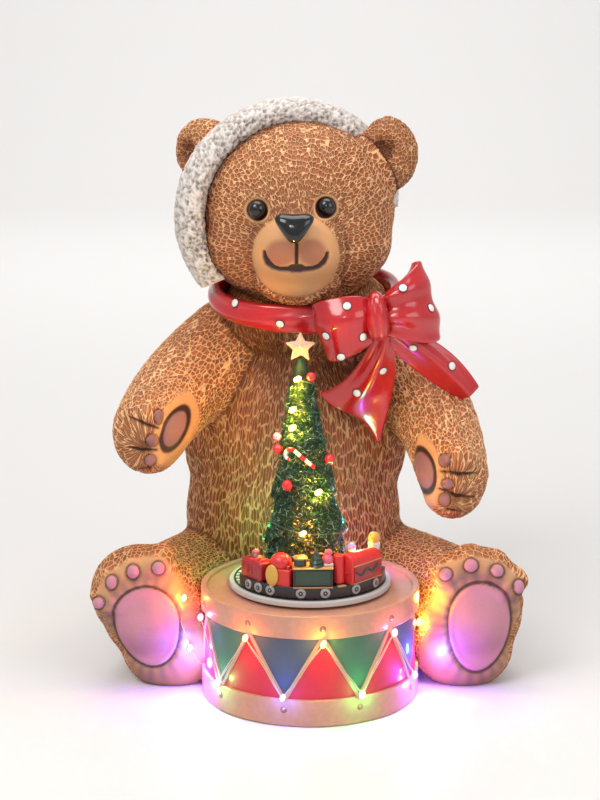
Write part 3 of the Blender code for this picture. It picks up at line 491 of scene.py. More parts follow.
SOLE_TOES = {
    "left": [(-152, 68), (-145, 85), (-130, 95), (-112, 98)],
    "right": [(100, 91), (118, 98), (136, 94), (150, 81)],
}
FINGERS = {"left": (-120, (209, 191, 173)), "right": (108, (175, 156, 140))}
ARMS = {
    "left": (((-62, 74, 232), (-98, 26, 209), (-117, -34, 192)), (39, 35, 30)),
    "right": (((60, 74, 220), (93, 34, 190), (106, -34, 157)), (38, 33, 28)),
}
LEGS = {
    "left": (((-56, 76, 46), (-94, 18, 52), (-116, -38, 54)), (47, 42, 42)),
    "right": (((48, 76, 44), (92, 18, 50), (119, -38, 52)), (47, 42, 42)),
}
BALLS = {
    "torso": [((-13, 72, 98), (86, 76, 104)), ((-11, 74, 160), (90, 66, 88)), ((-2, 66, 262), (68, 56, 40))],
    "head": [((-10, 52, 342), (76, 70, 70)), ((-10, 40, 322), (74, 62, 48))],
    "muzzle": [((-9, -8, 322), (37, 34, 34)), ((-9, 0, 300), (34, 34, 22))],
    "left_arm": [((-119, -40, 191), (28, 27, 33))],
    "right_arm": [((106, -38, 155), (26, 26, 32))],
    "left_leg": [((-126, -50, 70), (39, 25, 38)), ((-104, -46, 26), (39, 26, 34))],
    "right_leg": [((125, -50, 66), (36, 25, 40)), ((115, -46, 26), (39, 26, 34))],
}
EARS = {"left": ((-80, 56, 388), (25, 14, 26), -18.0), "right": ((60, 56, 385), (25, 14, 30), 18.0)}
EYES = ((-39, 352.3), (12, 354.3))
EYE_DEPTH = -13.2
BRIM_CENTRE = (-15.0, 341.0)

# Painted details where they stand in the 600 by 800 reference view
EYE_RINGS = ((256.9, 210.0), (326.2, 207.1))
MUZZLE_OVAL = ((296.0, 255.5), (45.5, 43.5))
LOBES = (((281.0, 253.0), (16.0, 13.5)), ((312.0, 252.0), (15.0, 13.5)))
MOUTH = (
    (263.1, 251.5, 1.4), (264.2, 257.8, 2.4), (267.1, 263.2, 3.1), (272.0, 267.4, 2.4), (278.9, 269.8, 1.9),
    (288.0, 269.8, 2.4), (292.5, 269.0, 4.2), (300.5, 269.0, 4.2), (305.0, 269.8, 2.4), (313.4, 269.0, 1.9),
    (319.5, 266.8, 2.2), (324.4, 262.5, 2.5), (327.4, 257.5, 2.0), (328.4, 253.0, 1.4),
)
PHILTRUM = ((296.5, 243.0, 1.5), (296.5, 267.0, 1.6))
EAR_HOLLOWS = {"left": ((186.0, 151.0), (9.0, 15.0), -8), "right": ((384.0, 150.0), (12.5, 13.5), 12)}
PALMS = {"left": ((176.6, 428.7), (9.5, 20.0), 25), "right": ((421.8, 470.2), (9.5, 19.0), -12)}
FINGER_PADS = {
    "left": ((159.4, 416.4, 4.4, 6.8), (152.7, 440.6, 6.2, 5.6), (150.6, 460.6, 5.6, 5.2)),
    "right": ((443.9, 460.1, 5.6, 6.6), (447.2, 484.3, 5.6, 5.2), (443.9, 500.3, 5.2, 6.0)),
}
CREASES = {
    "left": (
        ((128.0, 417.0, 0.4), (144.3, 424.5, 1.3), (159.0, 428.4, 0.8)),
        ((128.0, 447.6, 0.4), (141.0, 450.6, 1.3), (157.0, 450.6, 0.8)),
        ((138.0, 470.6, 0.4), (151.0, 469.4, 1.2)),
    ),
    "right": (
        ((440.0, 471.6, 0.8), (458.6, 474.2, 1.3), (478.0, 472.6, 0.4)),
        ((438.0, 489.2, 0.8), (455.3, 496.3, 1.3), (476.0, 497.0, 0.4)),
        ((446.0, 510.4, 1.2), (462.0, 513.0, 0.4)),
    ),
}
SOLES = {"left": ((148.3, 627.8), (32.5, 39.5), -14), "right": ((479.0, 628.3), (31.5, 44.0), 6)}
TOE_PADS = {
    "left": (
        (97.4, 603.3, 6.5, 6.5), (111.2, 582.5, 6.0, 7.5), (132.9, 572.1, 6.5, 7.5), (158.7, 568.7, 7.0, 7.0),
    ),
    "right": (
        (445.6, 574.6, 7.0, 7.0), (471.0, 565.6, 7.5, 7.5),
        (497.8, 570.8, 7.0, 7.0), (519.8, 587.1, 6.0, 8.0),
    ),
}


def all_balls():
    """Every ball of the form by region, the toes and fingers with their limbs."""
    found = {name: list(items) for name, items in BALLS.items()}
    for side in ("left", "right"):
        for x, z in SOLE_TOES[side]:
            found[f"{side}_leg"].append(((x, -60, z), (13, 19, 13)))
        x, heights = FINGERS[side]
        for z in heights:
            found[f"{side}_arm"].append(((x, -52, z), (16, 17, 10.5)))
    return found


def smooth_form():
    """All balls and limbs as one softened skin, finer where it faces the front."""
    look = settings().skin
    parts = [ball(centre, radii) for items in all_balls().values() for centre, radii in items]
    for centre, radii, lean in EARS.values():
        parts.append(ball(centre, radii, (math.radians(-8), 0.0, math.radians(lean))))
    for table in (ARMS, LEGS):
        for path, radii in table.values():
            parts += limb(path, radii)
    form = joined(parts, "bear_skin")
    modified(form, "REMESH", mode="VOXEL", voxel_size=look.grain)
    modified(form, "SMOOTH", factor=0.5, iterations=9)
    count = len(form.data.polygons)
    normals, centres = np.empty(count * 3), np.empty(count * 3)
    form.data.polygons.foreach_get("normal", normals)
    form.data.polygons.foreach_get("center", centres)
    normals, centres = normals.reshape(-1, 3), centres.reshape(-1, 3) / MM
    hidden_below = centres[:, 2] < -2
    under_drum = (np.hypot(centres[:, 0], centres[:, 1] + 65) < 76) & (centres[:, 2] < 80)
    in_hat = (centres[:, 2] > 300) & (centres[:, 1] > 75) & (np.abs(centres[:, 0] + 15) < 66)
    unseen = hidden_below | under_drum | in_hat
    seen = normals @ np.array((0.0, -0.97, 0.24))
    sole = (centres[:, 1] < -58) & (centres[:, 2] < 100)
    front = (seen > 0.04) & ~unseen & ~sole
    face = (centres[:, 2] > 285) & (centres[:, 1] < 22) & (np.abs(centres[:, 0] + 12) < 55)
    hand = (centres[:, 2] > 130) & (centres[:, 1] < -28) & (np.abs(centres[:, 0]) > 70)
    level = np.where(unseen, 0, 1)
    level = np.where(front | (sole & (seen > 0)), 2, level)
    refine(form, np.where(front & (face | hand), 3, level))
    modified(form, "SMOOTH", factor=0.5, iterations=8)
    return form


def refine(form, level):
    """Cut each face as often as its level says, the finest first."""
    grades = form.data.attributes.new("grade", "INT", "FACE")
    grades.data.foreach_set("value", level.astype(np.int32))
    bpy.context.tool_settings.mesh_select_mode = (False, False, True)
    for cuts in (3, 2, 1):
        pick(form)
        current = np.empty(len(form.data.polygons), dtype=np.int32)
        form.data.attributes["grade"].data.foreach_get("value", current)
        form.data.polygons.foreach_set("select", current == cuts)
        bpy.ops.object.mode_set(mode="EDIT")
        bpy.ops.mesh.subdivide(number_cuts=cuts, ngon=False)
        bpy.ops.mesh.select_all(action="DESELECT")
        bpy.ops.object.mode_set(mode="OBJECT")
        done = np.empty(len(form.data.polygons), dtype=np.int32)
        form.data.attributes["grade"].data.foreach_get("value", done)
        done[done == cuts] = 0
        form.data.attributes["grade"].data.foreach_set("value", done)
    form.data.attributes.remove(form.data.attributes["grade"])


def form_distances(places):
    """How near each point (in millimetres) is to each region's balls: one at their surface."""
    near = {}
    for name, items in all_balls().items():
        near[name] = np.min(
            [np.linalg.norm((places - np.array(c)) / np.array(r), axis=1) for c, r in items], axis=0,
        )
    for table, suffix in ((ARMS, "arm"), (LEGS, "leg")):
        for side, (path, radii) in table.items():
            own = near[f"{side}_{suffix}"]
            for i in range(13):
                t = i / 12
                reach = np.linalg.norm(places - blend3(path, t), axis=1) / float(blend3(radii, t))
                own = np.minimum(own, reach)
            near[f"{side}_{suffix}"] = own
    for side, (centre, radii, _) in EARS.items():
        near[f"{side}_ear"] = np.linalg.norm((places - np.array(centre)) / np.array(radii), axis=1)
    return near


# Skin: carving

def hashed(i, j, k):
    """Repeatable numbers from 0 to 1 for whole-number addresses."""
    n = (i.astype(np.int64) * 374761393 + j.astype(np.int64) * 668265263 + k * 1013904223) & 0x7FFFFFFF
    n = ((n ^ (n >> 13)) * 1274126177) & 0x7FFFFFFF
    return ((n ^ (n >> 16)) & 0xFFFF) / 65535.0


def soft_step(low, high, value):
    t = np.clip((value - low) / (high - low), 0.0, 1.0)
    return t * t * (3 - 2 * t)


def bump(distance, width):
    return np.exp(-(distance / width) ** 2)


def brim_reach(t):
    """How far the hat's brim stands out from its centre at an angle round the head."""
    return 75.5 - 6.5 * np.maximum(0.0, np.cos(t + 0.75)) ** 2


def brim_depth(t):
    return 52.0 + 24.0 * np.cos(t) + 6.0 * np.sin(t)


def in_view(p):
    """Where points (in millimetres) stand in the reference view."""
    turn = np.array(Matrix.Rotation(CAMERA_PITCH, 3, "X"))
    seen = (p * MM - np.array(CAMERA_PLACE)) @ turn
    scale = FRAME_TALL * CAMERA_LENS / SENSOR / -seen[:, 2]
    return FRAME_WIDE / 2 + seen[:, 0] * scale, FRAME_TALL / 2 - seen[:, 1] * scale


def oval(u, v, centre, half, lean=0.0, egg=0.0):
    """How far points of the view are outside an oval whose top leans to the right, in pixels."""
    du, dv = u - centre[0], centre[1] - v
    s, c = math.sin(math.radians(lean)), math.cos(math.radians(lean))
    along = (du * s + dv * c) / half[1]
    across = (du * c - dv * s) / half[0] / (1 + egg * np.clip(along, -1.3, 1.3))
    return (np.hypot(across, along) - 1) * min(half)


def stroke(u, v, line):
    """How far points of the view are outside a line of (u, v, half width) points, in pixels."""
    outside = np.full(len(u), 99.0)
    for (au, av, aw), (bu, bv, bw) in zip(line, line[1:]):
        du, dv = bu - au, bv - av
        t = np.clip(((u - au) * du + (v - av) * dv) / (du * du + dv * dv), 0, 1)
        outside = np.minimum(outside, np.hypot(u - au - t * du, v - av - t * dv) - aw - t * (bw - aw))
    return outside


def ringed(theta, radius, along, width, height):
    """Cell space round an axis: cells of this width round it and this height along it."""
    return np.stack([np.cos(theta) * radius / width, np.sin(theta) * radius / width, along / height], axis=1)


def head_cells(p):
    """Rings of cells round the muzzle."""
    axis = np.array((-0.01, -0.985, -0.17))
    out = p - np.array(BALLS["head"][0][0], float)
    polar = np.arccos(np.clip(out @ axis / np.maximum(np.linalg.norm(out, axis=1), 1e-6), -1, 1))
    up = np.cross((1.0, 0.0, 0.0), axis)
    theta = np.arctan2(out @ up / np.linalg.norm(up), out[:, 0])
    ripple = 1 + 0.035 * np.sin(5 * theta + 1.3) + 0.02 * np.sin(11 * theta)
    return ringed(theta, 58.0, 75.0 * polar * ripple * (1 - 0.16 * np.sin(theta)), 2.7, 6.0)


def torso_cells(p):
    """Rows of upright slots."""
    theta = np.arctan2(p[:, 0] + 12, -(p[:, 1] - 74))
    along, z = theta * 86.0, p[:, 2]
    wave = 1.6 * np.sin(along / 4.3 + z / 15) + 1.3 * np.sin(along / 9.1 + 1.7 * np.sin(z / 23))
    return ringed(theta, 86.0, z + wave, 2.6, 10.0)


def limb_cells(p, path, high, width, radius):
    """Cells along a limb."""
    samples = np.array([blend3(path, t) for t in np.linspace(-0.15, 1.35, 40)])
    steps = np.concatenate(([0.0], np.cumsum(np.linalg.norm(np.diff(samples, axis=0), axis=1))))
    nearest = np.argmin([((p - point) ** 2).sum(1) for point in samples], axis=0)
    ahead = np.gradient(samples, axis=0)
    ahead /= np.linalg.norm(ahead, axis=1)[:, None]
    tangent, offset = ahead[nearest], p - samples[nearest]
    s = steps[nearest] + (offset * tangent).sum(1)
    up = np.array((0.0, 0.0, 1.0)) - tangent * tangent[:, 2:3]
    up /= np.linalg.norm(up, axis=1)[:, None]
    theta = np.arctan2((offset * np.cross(tangent, up)).sum(1), (offset * up).sum(1))
    wave = s + 1.2 * np.sin(theta * 7 + s / 6) + 0.8 * np.sin(theta * 13)
    return ringed(theta, radius, wave, width, high)


def read_net(form):
    """Each point's distance from the net's nearest ridge, read where the finish will draw it."""
    group = bpy.data.node_groups.new("net_reading", "GeometryNodeTree")
    for way in ("INPUT", "OUTPUT"):
        group.interface.new_socket(name="Geometry", in_out=way, socket_type="NodeSocketGeometry")
    nodes, links = group.nodes, group.links
    start, end = nodes.new("NodeGroupInput"), nodes.new("NodeGroupOutput")
    cell, store = nodes.new("GeometryNodeInputNamedAttribute"), nodes.new("GeometryNodeStoreNamedAttribute")
    cell.data_type = "FLOAT_VECTOR"
    cell.inputs["Name"].default_value = "cell"
    store.inputs["Name"].default_value = "edge"
    net = net_node(nodes)
    links.new(start.outputs[0], store.inputs["Geometry"])
    links.new(cell.outputs["Attribute"], net.inputs["Vector"])
    links.new(net.outputs["Distance"], store.inputs["Value"])
    links.new(store.outputs[0], end.inputs[0])
    modified(form, "NODES", node_group=group)
    return reading(form, "edge")


def carve(form):
    """Sculpt the pads, face, fingers and fur, mark where each finish goes, and paint shade into the fur and
    the smooth skin.
    """
    look = settings().skin
    p, n = points_of(form) / MM, points_of(form, "normal")
    near = form_distances(p)
    names = sorted(near)
    table = np.sort([near[name] for name in names], axis=0)
    region = np.argmin([near[name] for name in names], axis=0)
    apart = table[1] - table[0]
    is_in = {name: region == k for k, name in enumerate(names)}
    u, v = in_view(p)
    ahead = soft_step(0.25, -0.1, n[:, 1])
    depth, ink, bare = np.zeros(len(p)), np.zeros(len(p)), np.zeros(len(p))
    paint = np.tile(np.array(look.bare), (len(p), 1))

    def tint(amount, colour):
        nonlocal paint
        paint = paint + amount[:, None] * (np.array(colour) - paint)

    def press(gap, where, ring, groove, sink, dark, colour=look.pad):
        """Sink a pad, cut the groove round it and paint both."""
        nonlocal depth, ink, bare
        depth = depth - (groove * bump(gap - ring / 2, ring) + sink * soft_step(0.0, -7.0, gap)) * where
        ink = np.maximum(ink, dark * soft_step(ring * 0.75, ring * 0.35, np.abs(gap - ring / 2)) * where)
        bare = np.maximum(bare, soft_step(1.0, 0.0, gap) * where)
        tint(soft_step(0.6, -0.6, gap) * where, colour)

    face = (is_in["head"] | is_in["muzzle"]) * ahead
    muzzle = oval(u, v, *MUZZLE_OVAL)
    bare = soft_step(1.5, -1.5, muzzle) * face
    for centre, half in LOBES:
        tint(soft_step(3.0, -4.0, oval(u, v, centre, half)) * face, look.lobe)
    depth = depth - 1.2 * bump(muzzle, 2.2) * face
    cut = np.minimum(stroke(u, v, MOUTH), stroke(u, v, PHILTRUM))
    depth = depth - 2.6 * soft_step(2.0, -1.6, cut) * face
    ink = np.maximum(ink, soft_step(0.9, -0.5, cut) * face)
    for centre in EYE_RINGS:
        away = np.hypot(u - centre[0], v - centre[1])
        depth = depth - 2.6 * soft_step(13.0, 6.0, away) * face
        bare = np.maximum(bare, soft_step(13.6, 12.4, away) * face)
        ink = np.maximum(ink, soft_step(11.6, 10.2, away) * face)

    for side in ("left", "right"):
        leg, arm = is_in[f"{side}_leg"], is_in[f"{side}_arm"]
        sole = soft_step(-0.42, -0.72, n[:, 1]) * (p[:, 1] < -50) * leg
        bare = np.maximum(bare, sole)
        pad_gap = oval(u, v, *SOLES[side], egg=0.14)
        streak = 0.5 + 0.5 * np.sin(26.0 * np.arctan2(v - SOLES[side][0][1], u - SOLES[side][0][0]))
        tint(sole * (0.55 + 0.45 * streak) * soft_step(30.0, 4.0, pad_gap), look.sole)
        press(pad_gap, sole > 0.02, 2.2, 2.2, 1.4, 0.85)
        for x, y, a, b in TOE_PADS[side]:
            press(oval(u, v, (x, y), (a, b)), leg * ahead * (p[:, 1] < -45), 1.8, 1.8, -1.0, 0.75)
        hand = arm * ahead * (p[:, 1] < -20)
        palm = oval(u, v, *PALMS[side])
        bare = np.maximum(bare, soft_step(13.0, 8.0, palm) * hand)
        press(palm, hand, 3.4, 2.2, 1.2, 1.0, look.palm)
        for x, y, a, b in FINGER_PADS[side]:
            press(oval(u, v, (x, y), (a, b)), hand, 1.6, 1.4, -0.8, 0.7, look.palm)
        for line in CREASES[side]:
            fold = stroke(u, v, line)
            depth = depth - 2.4 * soft_step(2.4, -1.0, fold) * hand
            ink = np.maximum(ink, 0.9 * soft_step(1.0, -0.4, fold) * hand)
    hollow = np.zeros(len(p))
    for side in ("left", "right"):
        gap = oval(u, v, *EAR_HOLLOWS[side])
        here = is_in[f"{side}_ear"] * ahead
        depth = depth - 7.0 * soft_step(3.0, -8.0, gap) * here
        hollow = np.maximum(hollow, soft_step(2.5, -3.5, gap) * here)

    cell = head_cells(p)
    for name, result in (("torso", torso_cells), ("left_ear", None), ("right_ear", None)):
        where = is_in[name]
        cell[where] = result(p[where]) if result else p[where] / np.array((2.6, 3.4, 3.4))
    for side in ("left", "right"):
        for part, paths, sizes in (("arm", ARMS, (6.4, 2.9, 34.0)), ("leg", LEGS, (5.0, 2.9, 42.0))):
            where = is_in[f"{side}_{part}"]
            cell[where] = limb_cells(p[where], paths[side][0], *sizes)
    store(form, "cell", "FLOAT_VECTOR", "vector", cell)
    ridge = 1.0 - soft_step(0.02, 0.24, read_net(form))
    smooth_here = np.clip(bare, 0, 1)
    amount = np.where(is_in["torso"], look.torso_relief, look.fur_relief) / MM
    depth = depth - amount * (1.0 - ridge) * (1 - smooth_here)
    moved = (p + n * depth[:, None]) * MM
    moved[:, 2] = np.maximum(moved[:, 2], 0.0)
    place_points(form, moved)

    # Colour factor of the carved fur: slow random variation, darker on the torso and most of all its upper
    # belly, lighter on the arms, darker in the ear hollows, with painted shade added below
    tone_and_shade = 0.94 + 0.10 * np.sin(p[:, 0] / 37) * np.sin(p[:, 2] / 41 + 1)
    chest = bump(np.linalg.norm((p - np.array((-5, -5, 225))) / np.array((90, 60, 60)), axis=1), 1.0)
    # Painted shade where two parts of the body meet
    tone_and_shade = tone_and_shade * (1 - (0.30 * chest + 0.12) * is_in["torso"]) * (1 - 0.35 * soft_step(0.10, 0.0, apart))
    tone_and_shade = tone_and_shade * (1 + 0.14 * (is_in["left_arm"] | is_in["right_arm"])) * (1 - 0.55 * hollow)
    # Painted shadow of the hat's brim on the head, strongest near the brim
    across, up = p[:, 0] - BRIM_CENTRE[0], p[:, 2] - BRIM_CENTRE[1]
    t = np.arctan2(up, across)
    beside = np.hypot(np.hypot(across, up) - brim_reach(t), p[:, 1] - brim_depth(t))
    tone_and_shade = tone_and_shade * (1 - 0.60 * soft_step(29, 15, beside) * is_in["head"])
    # Painted shade on surfaces that face down, in the fur and in the smooth skin's paint
    low = soft_step(0.15, -0.85, n[:, 2])
    tone_and_shade = tone_and_shade * (1 - 0.28 * low)
    paint = paint * (1 - 0.5 * low)[:, None]
    store(form, "tone_and_shade", "FLOAT_VECTOR", "vector", np.column_stack([tone_and_shade, tone_and_shade ** 1.3, tone_and_shade ** 1.5]))
    for name, values in (("smooth", smooth_here), ("ink", ink), ("region", region)):
        mark(form, name, values)
    store(form, "paint", "FLOAT_COLOR", "color", np.column_stack([paint, np.ones(len(p))]))
    return names


def split_regions(form, groups):
    """Cut the skin into named pieces along its regions."""
    pieces = []
    counts = np.empty(len(form.data.polygons), int)
    form.data.polygons.foreach_get("loop_total", counts)
    for name, numbers in groups:
        region = reading(form, "region")
        starts = np.empty(len(form.data.polygons), int)
        form.data.polygons.foreach_get("loop_start", starts)
        corner = np.empty(len(form.data.loops), int)
        form.data.loops.foreach_get("vertex_index", corner)
        chosen = np.isin(region[corner[starts]].astype(int), numbers)
        pick(form)
        bpy.context.tool_settings.mesh_select_mode = (False, False, True)
        bpy.ops.object.mode_set(mode="EDIT")
        bpy.ops.mesh.select_all(action="DESELECT")
        bpy.ops.object.mode_set(mode="OBJECT")
        form.data.polygons.foreach_set("select", chosen)
        if chosen.all():
            pieces.append(form)
            form.name = name
            break
        bpy.ops.object.mode_set(mode="EDIT")
        bpy.ops.mesh.separate(type="SELECTED")
        bpy.ops.object.mode_set(mode="OBJECT")
        made = next(o for o in bpy.context.selected_objects if o is not form)
        made.name = name
        made.data.name = name
        pieces.append(made)
    return pieces


class BEARFIGURE_OT_skin(bpy.types.Operator):
    """Model the bear's carved and painted skin"""

    bl_idname = "bear_figure.skin"
    bl_label = "Carved skin"

    def execute(self, context):
        form = smooth_form()
        names = carve(form)
        number = {name: k for k, name in enumerate(names)}
        groups = [
            ("bear_head", [number["head"], number["muzzle"], number["left_ear"], number["right_ear"]]),
            ("bear_arm_left", [number["left_arm"]]),
            ("bear_arm_right", [number["right_arm"]]),
            ("bear_leg_left", [number["left_leg"]]),
            ("bear_leg_right", [number["right_leg"]]),
            ("bear_torso", [number["torso"]]),
        ]
        look = fur_material()
        for piece in split_regions(form, groups):
            smooth(piece)
            wear(piece, look, "bear")
        return {"FINISHED"}


def sight(px, py):
    """The camera's place and its line of sight through a point of the 600 by 800 frame."""
    right = (px - FRAME_WIDE / 2) / FRAME_TALL * SENSOR / CAMERA_LENS
    up = -(py - FRAME_TALL / 2) / FRAME_TALL * SENSOR / CAMERA_LENS
    turn = Matrix.Rotation(CAMERA_PITCH, 3, "X")
    return Vector(CAMERA_PLACE), (turn @ Vector((right, up, -1.0))).normalized()


# Hat, face, scarf and bow

def cells3(p, size, seed):
    """Round cells in space: distance from the nearest border, and each cell's own number."""
    q = p / size
    base = np.floor(q)
    first = np.full(len(q), 9.0)
    second = first.copy()
    own = np.zeros(len(q))
    for dx in (-1, 0, 1):
        for dy in (-1, 0, 1):
            for dz in (-1, 0, 1):
                cell = base + (dx, dy, dz)
                address = cell[:, 0] * 73 + cell[:, 1] * 1931 + cell[:, 2] * 25913
                spot = np.stack([hashed(address, address * 0 + seed, k) for k in (1, 2, 3)], axis=1)
                away = np.linalg.norm(q - cell - 0.1 - 0.8 * spot, axis=1)
                closer = away < first
                second = np.where(closer, first, np.minimum(second, away))
                own = np.where(closer, hashed(address, address * 0 + seed, 4), own)
                first = np.where(closer, away, first)
    return second - first, own


def fleece(thing, depth, seed):
    """Press an uneven net of pits into a piece, and mark them for the painted shade in the pits."""
    p, n = points_of(thing) / MM, points_of(thing, "normal")
    x, y, z = p.T
    warp = np.stack([np.sin(y / 2.1 + z / 3.3), np.sin(z / 2.4), np.sin(x / 2.7)], axis=1)
    edge, own = cells3(p + 0.7 * warp, 3.9, seed)
    fine_edge, fine_own = cells3(p + 0.4 * warp, 1.9, seed + 5)
    pit = soft_step(0.08, 0.40, edge) * (own > 0.22) * (0.5 + 0.5 * own)
    fine = soft_step(0.08, 0.36, fine_edge) * (fine_own > 0.25)
    lump, _ = cells3(p, 11.0, seed + 9)
    moved = -depth / MM * (0.75 * pit + 0.30 * fine) + 1.3 * lump
    place_points(thing, (p + n * moved[:, None]) * MM)
    mark(thing, "pit", np.clip(0.85 * pit + 0.5 * fine, 0, 1))


def fleece_material():
    look = settings().dress
    material, nodes, links, shader = new_material("hat_fleece")
    # Painted shade: the pits take a darkened copy of the fleece's white
    dark = (look.hat_white[0] * 0.34, look.hat_white[1] * 0.28, look.hat_white[2] * 0.25)
    colour = mixed(nodes, links, attribute_socket(nodes, "pit"), look.hat_white, dark)
    add_grain(nodes, links, shader, colour, 1300.0, 60.0, 0.16, 0.0003)
    return material


def torus(name, major, minor):
    """A ring of points whose rows are then placed one by one."""
    bpy.ops.mesh.primitive_torus_add(
        major_segments=major, minor_segments=minor, major_radius=0.06, minor_radius=0.01, location=(0, 0, 0),
    )
    ring = settle(bpy.context.object, name)
    around = np.repeat(np.arange(major), minor) * math.tau / major
    across = np.tile(np.arange(minor), major) * math.tau / minor
    return ring, around, across


def outward(thing):
    """Turn all faces of a closed piece outwards."""
    pick(thing)
    bpy.ops.object.mode_set(mode="EDIT")
    bpy.ops.mesh.select_all(action="SELECT")
    bpy.ops.mesh.normals_make_consistent(inside=False)
    bpy.ops.object.mode_set(mode="OBJECT")
    return thing


def hat_brim():
    ring, t, k = torus("hat_brim", 420, 60)
    out = np.stack([np.cos(t), 0 * t, np.sin(t)], axis=1)
    middle = np.array((BRIM_CENTRE[0], 0.0, BRIM_CENTRE[1])) + out * brim_reach(t)[:, None]
    middle[:, 1] = brim_depth(t)
    back = np.stack([0.22 * np.cos(t), 0 * t + 1.0, 0 * t], axis=1)
    back /= np.linalg.norm(back, axis=1)[:, None]
    section = back * (15.0 * np.cos(k))[:, None] + out * (11.4 * np.sin(k))[:, None]
    place_points(ring, (middle + section) * MM)
    return outward(ring)


def hat_crown():
    folded_tip = limb(((-16, 96, 372), (-24, 138, 356), (-30, 142, 314)), (42, 28, 13))
    crown = joined([ball((-22, 74, 349), (80, 68, 74))] + folded_tip, "hat_crown")
    modified(crown, "REMESH", mode="VOXEL", voxel_size=0.0040)
    modified(crown, "SMOOTH", factor=0.5, iterations=7)
    modified(crown, "SUBSURF", levels=1, render_levels=1)
    p, n = points_of(crown) / MM, points_of(crown, "normal")
    x, z = p[:, 0], p[:, 2]
    fold = np.sin((x + 20) / 9.0 + z / 14.0) * bump(np.linalg.norm(p - (-22, 120, 372), axis=1), 46)
    crease = np.sin(z / 7.0 + x / 23.0) * bump(np.linalg.norm(p - (-28, 140, 330), axis=1), 40)
    p = p + n * (1.5 * fold + 0.9 * crease)[:, None]
    beside = p[:, ::2] - BRIM_CENTRE
    ahead = soft_step(9.0, -4.0, p[:, 1] - brim_depth(np.arctan2(beside[:, 1], beside[:, 0])))
    p[:, ::2] -= beside * (0.2 * ahead)[:, None]
    place_points(crown, p * MM)
    return crown


def shaped_nose():
    """The glossy nose: flat-fronted, broad above and narrow below."""
    bpy.ops.mesh.primitive_uv_sphere_add(segments=48, ring_count=28, radius=1.0, location=(0, 0, 0))
    nose = settle(bpy.context.object, "nose")
    p = points_of(nose)
    x, z = (np.sign(v) * np.abs(v) ** 0.72 for v in (p[:, 0], p[:, 2]))
    y = np.sign(p[:, 1]) * np.abs(p[:, 1]) ** 0.8
    narrow = 0.60 + 0.38 * z + 0.04 * z * z
    dip = -1.0 * bump(x * 17, 6.0) * np.maximum(z, 0)
    across = -11.5 + 18.6 * x * narrow
    place_points(nose, np.stack([across, -43.5 + 8.6 * y + 2.0 * z, 343.2 + 10.8 * z + dip], axis=1) * MM)
    return outward(nose)


def neck_scarf():
    ring, t, k = torus("scarf", 220, 36)
    up = np.sign(np.sin(k)) * np.abs(np.sin(k)) ** 0.75
    over = np.sign(np.cos(k)) * np.abs(np.cos(k)) ** 0.8
    out = np.stack([np.cos(t), np.sin(t), 0 * t], axis=1)
    middle = np.stack([-3 + 69 * np.cos(t), 50 + 63 * np.sin(t), 277 + 7 * np.sin(t)], axis=1)
    tall = 10.0 + 0.8 * np.sin(3 * t)
    fold = 0.9 * np.sin(4.6 * up + 2.2 * np.sin(2 * t) + 1.0) * (over > 0)
    thick = 5.6 + fold
    place = middle + out * (thick * over)[:, None]
    place[:, 2] += tall * up
    place_points(ring, place * MM)
    return outward(ring)


def bezier_patch(name, rows, fold=None, thick=3.0, steps=(34, 26)):
    """A ribbon over rows of control points, given thickness and softened edges.

    fold takes (u, v) arrays from 0 to 1 and gives how far each point stands out, in millimetres."""
    across, along = steps
    bpy.ops.mesh.primitive_grid_add(x_subdivisions=across, y_subdivisions=along, size=2.0, location=(0, 0, 0))
    patch = settle(bpy.context.object, name)
    flat = (points_of(patch)[:, :2] + 1) / 2
    u, v = flat[:, 0], flat[:, 1]
    table = np.array(rows, float)

    def weights(t, degree):
        return np.stack([
            math.comb(degree, i) * t ** i * (1 - t) ** (degree - i) for i in range(degree + 1)
        ])

    wu, wv = weights(u, table.shape[0] - 1), weights(v, table.shape[1] - 1)
    place_points(patch, np.einsum("an,bn,abk->nk", wu, wv, table) * MM)
    if points_of(patch, "normal")[:, 1].mean() > 0:
        pick(patch)
        bpy.ops.object.mode_set(mode="EDIT")
        bpy.ops.mesh.select_all(action="SELECT")
        bpy.ops.mesh.flip_normals()
        bpy.ops.object.mode_set(mode="OBJECT")
    if fold is not None:
        p, n = points_of(patch), points_of(patch, "normal")
        place_points(patch, p + n * (fold(u, v) * MM)[:, None])
    modified(patch, "SOLIDIFY", thickness=thick * MM, offset=-1.0)
    modified(patch, "SUBSURF", levels=1, render_levels=1)
    return smooth(patch)


def cast(px, py, carriers):
    """Where the sight line through a point of the frame first meets one of the carriers."""
    start, aim = sight(px, py)
    best = None
    for carrier in carriers:
        hit, place, normal, _ = carrier.ray_cast(start, aim)
        if hit and (best is None or (place - start).length < (best[0] - start).length):
            best = (place, normal)
    return start, aim, best


def on_sight(px, py, depth):
    """The place at a given depth, in millimetres, seen at a point of the frame."""
    start, aim = sight(px, py)
    return (start + aim * ((depth * MM - start.y) / aim.y)) / MM


def on_skin(px, py, stand, carriers, depth_y=15.0):
    """A place in millimetres that stands off the carriers towards the camera."""
    start, aim, best = cast(px, py, carriers)
    place = best[0] if best else start + aim * ((depth_y * MM - start.y) / aim.y)
    return (place - aim * stand * MM) / MM


